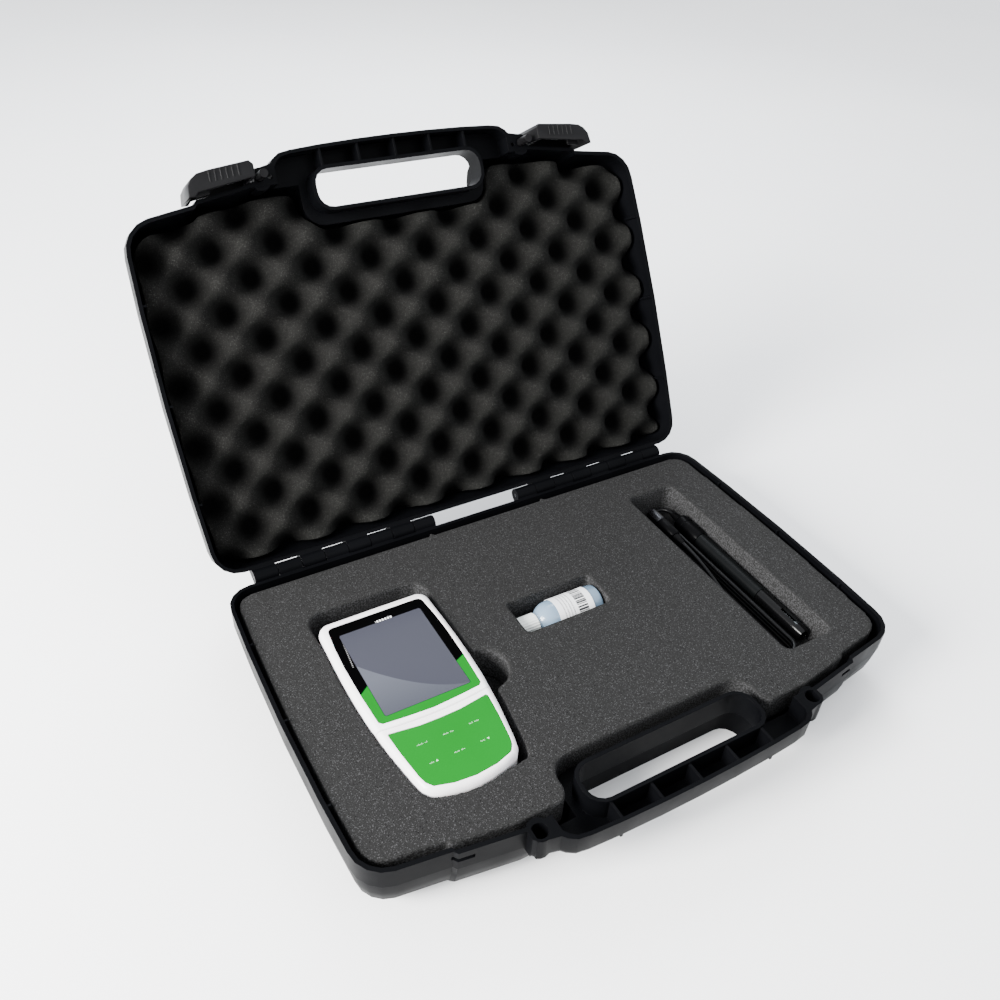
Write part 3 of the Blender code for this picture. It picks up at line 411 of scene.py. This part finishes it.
def meter_white():
    """Satin white with a faint pink warmth, and a fine seam across the bar."""
    m = Nodes(
        "meter_white",
        specular=0.5,
        Subsurface_Weight=0.08,
        Subsurface_Radius=(0.004, 0.003, 0.003),
    )
    m.colour(m.drift(14.0, 3.0, (0.82, 0.785, 0.795), (0.87, 0.84, 0.85)))
    m.rough(m.drift(60.0, 3.0, 0.26, 0.36))
    x, y, _ = m.axes()
    across = m.maths("MULTIPLY_ADD", x, 1.0 / BAR_HALF_WIDTH, -METER_X / BAR_HALF_WIDTH)
    sag = m.maths("MULTIPLY", m.maths("MULTIPLY", across, across), -BAR_SEAM_SAG)
    from_seam = m.maths("ADD", m.maths("ADD", y, sag), HINGE_Y - METER_Y - BAR_SEAM_Y)
    away = m.maths("ABSOLUTE", m.maths("MULTIPLY", from_seam, BAR_SEAM_SHARPNESS))
    groove = m.maths("SUBTRACT", 1.0, away, clamp=True)
    seam = m.maths("SUBTRACT", 1.0, groove)
    m.bump(((seam, 0.9, 0.0006), (m.noise(1600.0), 0.06, 0.0001)), 0.0005)
    return m.material


def panel_film():
    """Film round the display: black above, green below, with generic printed marks."""
    m = Nodes("panel_film", specular=0.0)
    x, y = m.meter_axes()
    over_left = m.above_line(x, y, GREEN_LEFT_POINT, GREEN_LEFT_SLOPE)
    over_right = m.above_line(x, y, GREEN_RIGHT_POINT, GREEN_RIGHT_SLOPE)
    side = m.step(x, 0.0, 1.0)
    above = m.mix(side, m.step(over_left, 0.0, 0.12), m.step(over_right, 0.0, 0.12))
    green = m.drift(20.0, 2.0, (0.0006, 0.110, 0.0085), (0.0008, 0.120, 0.0100))
    film = m.mix(above, green, (0.0008, 0.0008, 0.0009))
    blocks = m.stripes(x, NAME_BLOCKS_PITCH, -0.35, 0.15)
    name = m.maths("MULTIPLY", m.band(x, *NAME_BLOCKS_X), m.band(y, *NAME_BLOCKS_Y))
    film = m.mix(m.maths("MULTIPLY", name, blocks), film, (0.70, 0.70, 0.70))
    dashes = m.stripes(y, SIDE_DASHES_PITCH, -0.1, 0.3)
    off_line = m.above_line(y, x, SIDE_DASHES_POINT, SIDE_DASHES_LEAN)
    line = m.band(off_line, -SIDE_DASHES_HALF, SIDE_DASHES_HALF)
    line = m.maths("MULTIPLY", line, m.band(y, *SIDE_DASHES_Y))
    film = m.mix(m.maths("MULTIPLY", line, dashes), film, (0.16, 0.16, 0.16))
    m.colour(film)
    m.rough(m.drift(70.0, 3.0, 0.20, 0.28))
    m.grain(1500.0, 0.04, edge_radius=0.0002)
    return m.material


def screen_glass():
    """The display, off: grey, and lighter under one long curved reflection."""
    m = Nodes("screen_glass", roughness=0.14, specular=0.03)
    x, y = m.meter_axes()
    height, slope, bend = REFLECTION
    curve = m.maths("MULTIPLY", m.maths("MULTIPLY", x, x), bend)
    line = m.maths("ADD", m.maths("MULTIPLY_ADD", x, slope, height), curve)
    above = m.maths("ADD", y, line)
    dark = m.drift(12.0, 2.0, (0.0262, 0.0270, 0.0365), (0.0282, 0.0290, 0.0395))
    upwards = m.maths("MULTIPLY_ADD", y, 0.015, 0.3, clamp=True)
    light = m.ramp(upwards, ((0.0, (0.034, 0.036, 0.046)), (0.6, (0.056, 0.060, 0.074))))
    m.colour(m.mix(m.step(above, 0.0, 0.3), light, dark))
    m.grain(700.0, 0.02)
    return m.material


def keypad_film():
    """Matt green film."""
    m = Nodes("keypad_film", specular=0.01)
    m.colour(m.drift(16.0, 3.0, (0.0006, 0.112, 0.0085), (0.0008, 0.122, 0.0105)))
    m.rough(m.drift(60.0, 3.0, 0.34, 0.44))
    m.grain(2200.0, 0.10)
    return m.material


def label_paper():
    """White paper with generic grey lines and a block of dark bars, wrapped round the bottle."""
    m = Nodes("label_paper", roughness=0.5, specular=0.4)
    x, y, z = m.axes()
    up = m.maths("ADD", z, -BOTTLE_Z)
    angle = m.maths("ARCTAN2", up, m.maths("ADD", y, -BOTTLE_Y))
    around = m.maths("MULTIPLY", angle, LABEL_RADIUS)
    paper = m.drift(30.0, 3.0, (0.62, 0.62, 0.63), (0.70, 0.70, 0.70))
    # Noise along one line breaks up the bars, and noise across the paper breaks up the lines.
    bar_noise = m.node("ShaderNodeTexNoise", noise_dimensions="1D")
    bar_noise.inputs["Scale"].default_value = 0.85
    bar_noise.inputs["Detail"].default_value = 2.0
    m.join(around, bar_noise.inputs["W"])
    bars = m.step(bar_noise.outputs["Fac"], 0.475, 0.015)
    bars = m.maths("MULTIPLY", bars, m.band(x, *LABEL_BARS_X))
    text_noise = m.node("ShaderNodeTexNoise", noise_dimensions="2D")
    text_noise.inputs["Scale"].default_value = 1.0
    text_noise.inputs["Detail"].default_value = 1.0
    flat = m.node("ShaderNodeCombineXYZ")
    m.join(m.maths("MULTIPLY", x, 2.2), flat.inputs["X"])
    m.join(m.maths("MULTIPLY", around, 1.6), flat.inputs["Y"])
    m.join(flat.outputs["Vector"], text_noise.inputs["Vector"])
    strokes = m.step(text_noise.outputs["Fac"], 0.47, 0.03)
    rows = m.stripes(x, LABEL_LINES_PITCH, 0.25, 0.15)
    lines = m.maths("MULTIPLY", strokes, rows)
    lines = m.maths("MULTIPLY", lines, m.band(x, *LABEL_LINES_X))
    ink = m.maths("MAXIMUM", m.maths("MULTIPLY", lines, 0.75), bars)
    m.colour(m.mix(ink, paper, (0.004, 0.004, 0.006)))
    m.grain(1500.0, 0.08, edge_radius=0.0002)
    return m.material


def bottle_plastic():
    """Pale blue plastic that lets some light through."""
    m = Nodes("bottle_plastic", specular=0.5, Transmission_Weight=0.35, IOR=1.5)
    m.colour(m.drift(25.0, 3.0, (0.15, 0.235, 0.33), (0.24, 0.325, 0.42)))
    m.rough(m.drift(60.0, 3.0, 0.14, 0.24))
    m.grain(900.0, 0.04, edge_radius=0.0004)
    return m.material


# Pieces


def link(obj, mat, body, *stands_for, slot):
    """Puts a piece in the scene with its material and its body, and hides the CAD nodes it stands
    for.
    """
    bpy.context.scene.collection.objects.link(obj)
    obj.data.materials.append(mat)
    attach(obj, body)
    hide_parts(*stands_for)
    return obj


def finished(obj):
    """The object's mesh with its modifiers applied. The object itself is removed."""
    bpy.context.scene.collection.objects.link(obj)
    shown = obj.evaluated_get(bpy.context.evaluated_depsgraph_get())
    mesh = bpy.data.meshes.new_from_object(shown)
    name = obj.name
    bpy.data.objects.remove(obj)
    mesh.name = name
    return mesh


def as_mesh(bm, name):
    """The bmesh as a new mesh, with its faces turned outwards."""
    bmesh.ops.recalc_face_normals(bm, faces=bm.faces)
    mesh = bpy.data.meshes.new(name)
    bm.to_mesh(mesh)
    bm.free()
    return mesh


def remeshed(name, solids, voxel, rounds, transform=None, bridges=()):
    """CAD solids, and boxes that bridge the gaps between them, as one even, softened mesh."""
    bm = bmesh.new()
    for solid in solids:
        bm.from_mesh(nodes[solid].data)
    for low, high in bridges:
        made = bmesh.ops.create_cube(bm, size=1.0)["verts"]
        size = placed(*high) - placed(*low)
        middle = (placed(*high) + placed(*low)) / 2
        box = Matrix.Translation(middle) @ Matrix.Diagonal((*size, 1.0))
        bmesh.ops.transform(bm, matrix=box, verts=made)
    if transform:
        bmesh.ops.transform(bm, matrix=transform, verts=bm.verts)
    mesh = bpy.data.meshes.new(name)
    bm.to_mesh(mesh)
    bm.free()
    obj = bpy.data.objects.new(name, mesh)
    grid = obj.modifiers.new("grid", "REMESH")
    grid.mode = "VOXEL"
    grid.voxel_size = voxel
    soft = obj.modifiers.new("soft", "SMOOTH")
    soft.factor = 0.5
    soft.iterations = rounds
    mesh = finished(obj)
    mesh.shade_smooth()
    return mesh


def base_foams(mat):
    """The cut-out layer as one block, with the floor and the two pads below it."""
    front, back = SEAM_BRIDGE_Y
    bridges = []
    for seam in BASE_FOAM_SEAMS:
        low = (seam - SEAM_BRIDGE_HALF, front, SEAM_BRIDGE_FOOT)
        high = (seam + SEAM_BRIDGE_HALF, back, BASE_FOAM_TOP - 0.02)
        bridges.append((low, high))
    cut_out = ("foam_meter_block", "foam_bottle_block", "foam_probe_block")
    blocks = (
        ("foam_cut_out", cut_out, CUT_OUT_VOXEL, bridges),
        ("foam_floor_block", ("foam_floor",), FLOOR_VOXEL, ()),
        ("foam_meter_bed", ("foam_meter_pad",), BED_VOXEL, ()),
        ("foam_slot_bed", ("foam_slot_pad",), BED_VOXEL, ()),
    )
    for name, solids, voxel, gaps in blocks:
        mesh = remeshed(name, solids, voxel, BASE_FOAM_ROUNDS, bridges=gaps)
        block = bpy.data.objects.new(name, mesh)
        link(block, mat, "case_base", *solids, slot="base_foam")


def crate_depth(x, y):
    """How far the egg-crate surface lies under its peaks."""
    hole_x, hole_y = CRATE_HOLE
    pitch_x, pitch_y = CRATE_PITCH
    u = (x - hole_x) / pitch_x
    v = (y - hole_y) / pitch_y
    wave = 0.5 + 0.5 * math.cos(math.tau * u) * math.cos(math.tau * v)
    hollow = 0.0
    for shift in (0.0, 0.5):
        off_u = u - shift - round(u - shift)
        off_v = v - shift - round(v - shift)
        hollow += math.exp(-(off_u * off_u + off_v * off_v) / CRATE_HOLLOW_SPREAD)
    share = CRATE_WAVE_SHARE * wave + CRATE_HOLLOW_SHARE * hollow
    return CRATE_DEPTH * min(1.0, share)


def lid_foam(mat):
    """The egg-crate foam: each point under the wavy surface, in the lid's metres, rises to it."""
    mesh = remeshed("lid_foam_block", ("lid_foam",), CRATE_VOXEL, CRATE_ROUNDS, TO_LID)
    for vertex in mesh.vertices:
        x, y, z = vertex.co / MM
        surface = LID_FOAM_FACE + crate_depth(x, y)
        if z < surface:
            vertex.co.z = surface * MM
    bm = bmesh.new()
    bm.from_mesh(mesh)
    bmesh.ops.remove_doubles(bm, verts=bm.verts, dist=CRATE_MERGE_METRES)
    bm.to_mesh(mesh)
    bm.free()
    mesh.transform(TO_LID.inverted())
    mesh.shade_smooth()
    block = bpy.data.objects.new("lid_foam_block", mesh)
    link(block, mat, "lid", "lid_foam", slot="lid_foam")


def half_turn(y, start, z):
    """Half a turn at an end of the hank, clockwise from above, from the start angle in degrees."""
    made = []
    for k in range(HALF_TURN_STEPS + 1):
        angle = math.radians(start - 180.0 * k / HALF_TURN_STEPS)
        x = HANK_X + HANK_TURN_RADIUS * math.cos(angle)
        made.append((x, y + HANK_TURN_RADIUS * math.sin(angle), z))
    return made


def straight(a, b, steps):
    """Points between a and b, without both ends, eased in height and sideways."""
    made = []
    for k in range(1, steps):
        t = k / steps
        ease = t * t * (3.0 - 2.0 * t)
        x = a[0] + (b[0] - a[0]) * ease
        z = a[2] + (b[2] - a[2]) * ease
        made.append((x, a[1] + (b[1] - a[1]) * t, z))
    return made


def cable_route():
    """A wide half turn out of the probe down to the slot's floor, the hank, and up to the plug."""
    exit_x, exit_y, exit_z = CABLE_EXIT
    route = [(exit_x, exit_y - 1.0, exit_z), (exit_x, exit_y + 1.0, exit_z)]
    for k in range(HALF_TURN_STEPS + 1):
        angle = math.radians(180.0 * k / HALF_TURN_STEPS)
        sink = 0.5 - 0.5 * math.cos(angle)
        x = exit_x - FIRST_TURN_RADIUS + FIRST_TURN_RADIUS * math.cos(angle)
        y = FIRST_TURN_Y + FIRST_TURN_RADIUS * math.sin(angle)
        route.append((x, y, exit_z + (HANK_FIRST_Z - exit_z) * sink))
    front, back = HANK_ENDS
    right = HANK_X + HANK_TURN_RADIUS
    left = HANK_X - HANK_TURN_RADIUS
    for turn in range(HANK_TURNS):
        z = HANK_FIRST_Z + HANK_LAYER * turn
        if turn == 0:
            route += straight(route[-1], (right, SETTLED_Y, z), LONG_RUN_STEPS)
            route += straight((right, SETTLED_Y, z), (right, front, z), SETTLED_RUN_STEPS)
        else:
            route += straight((right, back, z), (right, front, z), LONG_RUN_STEPS)
        route += half_turn(front, 0.0, z)
        if turn < HANK_TURNS - 1:
            next_z = z + HANK_LAYER
            route += straight((left, front, z), (left, back, next_z), LONG_RUN_STEPS)
            route += half_turn(back, 180.0, next_z)
    last_z = HANK_FIRST_Z + HANK_LAYER * (HANK_TURNS - 1)
    route += straight((left, front, last_z), CABLE_PLUG_END, PLUG_RUN_STEPS)
    return route + [CABLE_PLUG_END]


def cable(mat):
    """The probe's cable, as one curve in place of its three CAD solids."""
    route = [placed(*point) for point in cable_route()]
    curve = bpy.data.curves.new("probe_cable", "CURVE")
    curve.dimensions = "3D"
    curve.bevel_depth = CABLE_RADIUS * MM
    curve.bevel_resolution = 5
    curve.use_fill_caps = True
    spline = curve.splines.new("POLY")
    spline.points.add(len(route) - 1)
    for point, place in zip(spline.points, route):
        point.co = (*place, 1.0)
    spline.use_smooth = True
    obj = link(
        bpy.data.objects.new("probe_cable", curve),
        mat,
        "probe",
        "cable_from_probe",
        "cable_hank",
        "cable_to_plug",
        slot="cable",
    )


# The keypad


def on_meter(x, y, z):
    """A point of the meter, from its centre and its top, in metres."""
    return ((METER_X + x) * MM, (METER_Y + y) * MM, (METER_TOP + z) * MM)


def rounded(points, rounds=3):
    """Cuts an outline's corners again and again until it is smooth."""
    for _ in range(rounds):
        cut = []
        for k, here in enumerate(points):
            after = points[(k + 1) % len(points)]
            reach = math.dist(here, after)
            nick = min(CORNER_CUT_SHARE, CORNER_CUT_REACH / max(reach, 0.001))
            cut.append(tuple(a + (b - a) * nick for a, b in zip(here, after)))
            cut.append(tuple(b + (a - b) * nick for a, b in zip(here, after)))
        points = cut
    return points


def slab(bm, outline, low, high, material_index=0, soft=0.0):
    """Adds a flat solid with the given outline, in the meter's coordinates."""
    face = bm.faces.new([bm.verts.new(on_meter(x, y, low)) for x, y in outline])
    made = bmesh.ops.extrude_face_region(bm, geom=[face])["geom"]
    top = [item for item in made if isinstance(item, bmesh.types.BMVert)]
    bmesh.ops.translate(bm, vec=(0.0, 0.0, (high - low) * MM), verts=top)
    faces = {f for v in top for f in v.link_faces} | {face}
    for f in faces:
        f.material_index = material_index
    if soft:
        rim = [e for e in bm.edges if all(v in set(top) for v in e.verts) and e.is_manifold]
        offset = soft * MM
        bmesh.ops.bevel(bm, geom=rim, offset=offset, segments=2, affect="EDGES", profile=0.5)


def key_marks(number):
    """Plain marks for one key: groups of fine upright bars, and a triangle on two of the keys."""
    shapes = []
    for start, count in MARK_BARS[number]:
        for k in range(count):
            left = start + MARK_BAR_PITCH * k
            right = left + MARK_BAR_WIDTH
            foot = MARK_BAR_FEET[k % 2]
            head = MARK_BAR_SHORT if (k + number) % 3 else MARK_BAR_TALL
            shapes.append(((left, foot), (right, foot), (right, head), (left, head)))
    if number in MARK_TRIANGLES:
        shapes.append(MARK_TRIANGLES[number])
    return shapes


def keypad(film_mat, mark_mat):
    """A seamless film: its six key patches meet it exactly and press into it."""
    half = list(FILM_RIGHT_HALF)
    outline = half + [(-x, y) for x, y in reversed(half) if x > 0.0]
    bm = bmesh.new()
    slab(bm, rounded(outline), FILM_FOOT, FILM_TOP, soft=FILM_EDGE)
    film = bpy.data.objects.new("keypad_film", as_mesh(bm, "keypad_film"))
    half_x, half_y = KEY_HALF
    corners = ((-half_x, -half_y), (half_x, -half_y), (half_x, half_y), (-half_x, half_y))
    places = [(x, y) for y in KEY_ROWS for x in KEY_COLUMNS]
    holes = bmesh.new()
    for x, y in places:
        slab(holes, [(x + px, y + py) for px, py in corners], *KEY_HOLE_Z)
    cutter = bpy.data.objects.new("keypad_holes", as_mesh(holes, "keypad_holes"))
    bpy.context.scene.collection.objects.link(cutter)
    cut = film.modifiers.new("holes", "BOOLEAN")
    cut.operation = "DIFFERENCE"
    cut.solver = "EXACT"
    cut.object = cutter
    film = bpy.data.objects.new("keypad_film", finished(film))
    bpy.data.objects.remove(cutter)
    link(film, film_mat, "meter", "keypad_overlay", slot="keypad_green")
    for number, (x, y) in enumerate(places, 1):
        bm = bmesh.new()
        slab(bm, [(x + px, y + py) for px, py in corners], FILM_FOOT, FILM_TOP)
        for shape in key_marks(number):
            slab(bm, [(x + px, y + py) for px, py in shape], *MARK_Z, 1)
        name = "key_patch_%d" % number
        patch = bpy.data.objects.new(name, as_mesh(bm, name))
        link(patch, film_mat, "key_%d_cap" % number, "key_%d" % number, slot="keypad_green")
        patch.data.materials.append(mark_mat)


# The CAD nodes that are shown as they are

SOFT_SHADED = (
    "base_shell",
    "lid_shell",
    "latch_left",
    "latch_right",
    "meter_front_case",
    "meter_back_case",
    "battery_cover",
    "display_panel",
    "bottle_body",
    "bottle_label",
    "probe_barrel",
    "probe_cap",
    "probe_guard",
    "connector_body",
    "connector_boot",
    "connector_ring",
    "cable_strain_relief",
)


def paint_nodes():
    """Gives every CAD node that is shown its material."""
    groups = (
        (
            moulded(
                "case_plastic",
                (0.0012, 0.0013, 0.0016),
                (0.0020, 0.0021, 0.0026),
                (0.32, 0.44),
                specular=0.020,
            ),
            ("base_shell", "lid_shell"),
        ),
        (
            moulded(
                "clip_plastic",
                (0.0030, 0.0029, 0.0032),
                (0.0044, 0.0043, 0.0047),
                (0.32, 0.44),
                specular=0.09,
            ),
            ("latch_left", "latch_right"),
        ),
        (
            metal("steel", (0.030, 0.030, 0.033), (0.20, 0.34)),
            (
                "hinge_pin_left",
                "hinge_pin_right",
                "latch_pin_left",
                "latch_pin_right",
                "battery_contact_foot",
                "battery_contact_head",
                "case_screw_1",
                "case_screw_2",
                "case_screw_3",
                "case_screw_4",
                "connector_ring",
            ),
        ),
        (meter_white(), ("meter_front_case", "meter_back_case", "battery_cover")),
        (panel_film(), ("display_panel",)),
        (screen_glass(), ("display_window",)),
        (
            moulded("module_grey", (0.12, 0.13, 0.15), (0.15, 0.16, 0.18), (0.30, 0.40)),
            ("display_module",),
        ),
        (
            moulded("board_green", (0.012, 0.11, 0.035), (0.020, 0.16, 0.055), (0.40, 0.55)),
            ("main_board",),
        ),
        (
            moulded("cell_wrap", (0.030, 0.032, 0.040), (0.045, 0.047, 0.055), (0.28, 0.36)),
            ("battery_1", "battery_2", "battery_3"),
        ),
        (
            moulded(
                "rubber",
                (0.002, 0.002, 0.0022),
                (0.0035, 0.0035, 0.0038),
                (0.55, 0.68),
                grain=900.0,
                strength=0.2,
                specular=0.03,
            ),
            ("case_seal", "connector_boot", "cable_strain_relief"),
        ),
        (
            moulded(
                "black_plastic",
                (0.0012, 0.0012, 0.0014),
                (0.0022, 0.0022, 0.0025),
                (0.26, 0.36),
                specular=0.025,
            ),
            ("probe_socket", "connector_body", "probe_cap"),
        ),
        (
            moulded(
                "probe_grey",
                (0.0018, 0.0021, 0.0023),
                (0.0026, 0.0030, 0.0032),
                (0.34, 0.44),
                grain=2000.0,
                strength=0.06,
                specular=0.06,
            ),
            ("probe_barrel",),
        ),
        (
            moulded(
                "guard_black",
                (0.001, 0.001, 0.0012),
                (0.002, 0.002, 0.0022),
                (0.14, 0.22),
                grain=2000.0,
                strength=0.03,
                specular=0.16,
            ),
            ("probe_guard",),
        ),
        (
            moulded(
                "sensor_glass",
                (0.40, 0.45, 0.48),
                (0.50, 0.55, 0.57),
                (0.06, 0.12),
                grain=2000.0,
                strength=0.02,
                Transmission_Weight=0.5,
            ),
            ("probe_sensor",),
        ),
        (bottle_plastic(), ("bottle_body", "bottle_dropper")),
        (
            moulded(
                "cap_white",
                (0.56, 0.58, 0.56),
                (0.64, 0.66, 0.64),
                (0.40, 0.52),
                grain=1200.0,
                strength=0.10,
            ),
            ("bottle_cap",),
        ),
        (label_paper(), ("bottle_label",)),
    )
    for mat, names in groups:
        for name in names:
            materials = nodes[name].data.materials
            materials.clear()
            materials.append(mat)


def soft_shading():
    """A node tree that shades a mesh smooth wherever its faces meet at a small angle."""
    tree = bpy.data.node_groups.new("soft_shading", "GeometryNodeTree")
    tree.interface.new_socket("Geometry", in_out="INPUT", socket_type="NodeSocketGeometry")
    tree.interface.new_socket("Geometry", in_out="OUTPUT", socket_type="NodeSocketGeometry")
    start = tree.nodes.new("NodeGroupInput")
    end = tree.nodes.new("NodeGroupOutput")
    faces = tree.nodes.new("GeometryNodeSetShadeSmooth")
    edges = tree.nodes.new("GeometryNodeSetShadeSmooth")
    edges.domain = "EDGE"
    angle = tree.nodes.new("GeometryNodeInputMeshEdgeAngle")
    over = tree.nodes.new("ShaderNodeMath")
    over.operation = "GREATER_THAN"
    over.inputs[1].default_value = SMOOTH_BELOW
    faces.inputs["Shade Smooth"].default_value = True
    edges.inputs["Shade Smooth"].default_value = False
    tree.links.new(angle.outputs["Unsigned Angle"], over.inputs[0])
    tree.links.new(start.outputs[0], faces.inputs["Geometry"])
    tree.links.new(faces.outputs["Geometry"], edges.inputs["Geometry"])
    tree.links.new(over.outputs[0], edges.inputs["Selection"])
    tree.links.new(edges.outputs["Geometry"], end.inputs[0])
    return tree


def shade_nodes():
    """Joins the CAD solids' split edges, and shades their small bends smooth."""
    tree = soft_shading()
    for name in SOFT_SHADED:
        node = nodes[name]
        normals = node.data.attributes.get("custom_normal")
        if normals:
            node.data.attributes.remove(normals)
        weld = node.modifiers.new("weld", "WELD")
        weld.merge_threshold = WELD_METRES
        node.modifiers.new("soft_shading", "NODES").node_group = tree


# The stage


def stage_and_lights():
    """A pale floor, an even pale sky and three soft lights."""
    floor = Nodes("floor", roughness=0.9, specular=0.1)
    floor.colour(floor.drift(1.5, 3.0, (0.86, 0.86, 0.87), (0.90, 0.90, 0.90)))
    bm = bmesh.new()
    bmesh.ops.create_grid(bm, x_segments=2, y_segments=2, size=12.0)
    plane = bpy.data.objects.new("floor", as_mesh(bm, "floor"))
    plane.location.z = -0.0005
    plane.data.materials.append(floor.material)
    bpy.context.scene.collection.objects.link(plane)

    world = bpy.data.worlds.new("studio")
    world.use_nodes = True
    background = world.node_tree.nodes["Background"]
    background.inputs["Color"].default_value = (0.93, 0.96, 1.0, 1.0)
    background.inputs["Strength"].default_value = 2.05
    bpy.context.scene.world = world

    # Each light's name, place, target, size, power and tint, in metres and watts.
    lights = (
        ("key", (-1.60, -0.05, 0.85), (0.0, 0.0, 0.05), 0.8, 190.0, (1.0, 0.99, 0.97)),
        ("rear", (0.55, 1.45, 1.30), (0.0, 0.05, 0.15), 0.9, 34.0, (0.90, 0.95, 1.0)),
        ("front", (0.50, -1.60, 1.30), (0.0, 0.0, 0.10), 1.2, 9.0, (1.0, 1.0, 1.0)),
    )
    for name, place, target, size, power, tint in lights:
        data = bpy.data.lights.new(name, "AREA")
        data.size = size
        data.energy = power
        data.color = tint
        lamp = bpy.data.objects.new(name, data)
        lamp.location = place
        aim = Vector(target) - Vector(place)
        lamp.rotation_euler = aim.to_track_quat("-Z", "Y").to_euler()
        bpy.context.scene.collection.objects.link(lamp)


def main():
    add_camera()
    jacket = moulded(
        "cable_jacket",
        (0.0014, 0.0014, 0.0017),
        (0.0024, 0.0024, 0.0028),
        (0.26, 0.38),
        grain=1500.0,
        strength=0.10,
        edge=0.0,
        specular=0.12,
    )
    cut_foam = foam(
        "base_foam",
        base=(0.0132, 0.0132, 0.0131),
        speck=(0.080, 0.080, 0.083),
        hollow=(0.0026, 0.0026, 0.0026),
    )
    # The lid's foam is painted about half as bright as the base's: painted shade, as its face
    # turns away from the lights.
    crate_foam = foam(
        "lid_foam",
        base=(0.0068, 0.0068, 0.0063),
        speck=(0.046, 0.046, 0.043),
        hollow=(0.0016, 0.0016, 0.0015),
        crate=True,
    )
    marks = moulded("mark_white", (0.34, 0.62, 0.35), (0.42, 0.68, 0.42), (0.4, 0.5))
    cable(jacket)
    base_foams(cut_foam)
    lid_foam(crate_foam)
    keypad(keypad_film(), marks)
    paint_nodes()
    shade_nodes()
    stage_and_lights()


main()
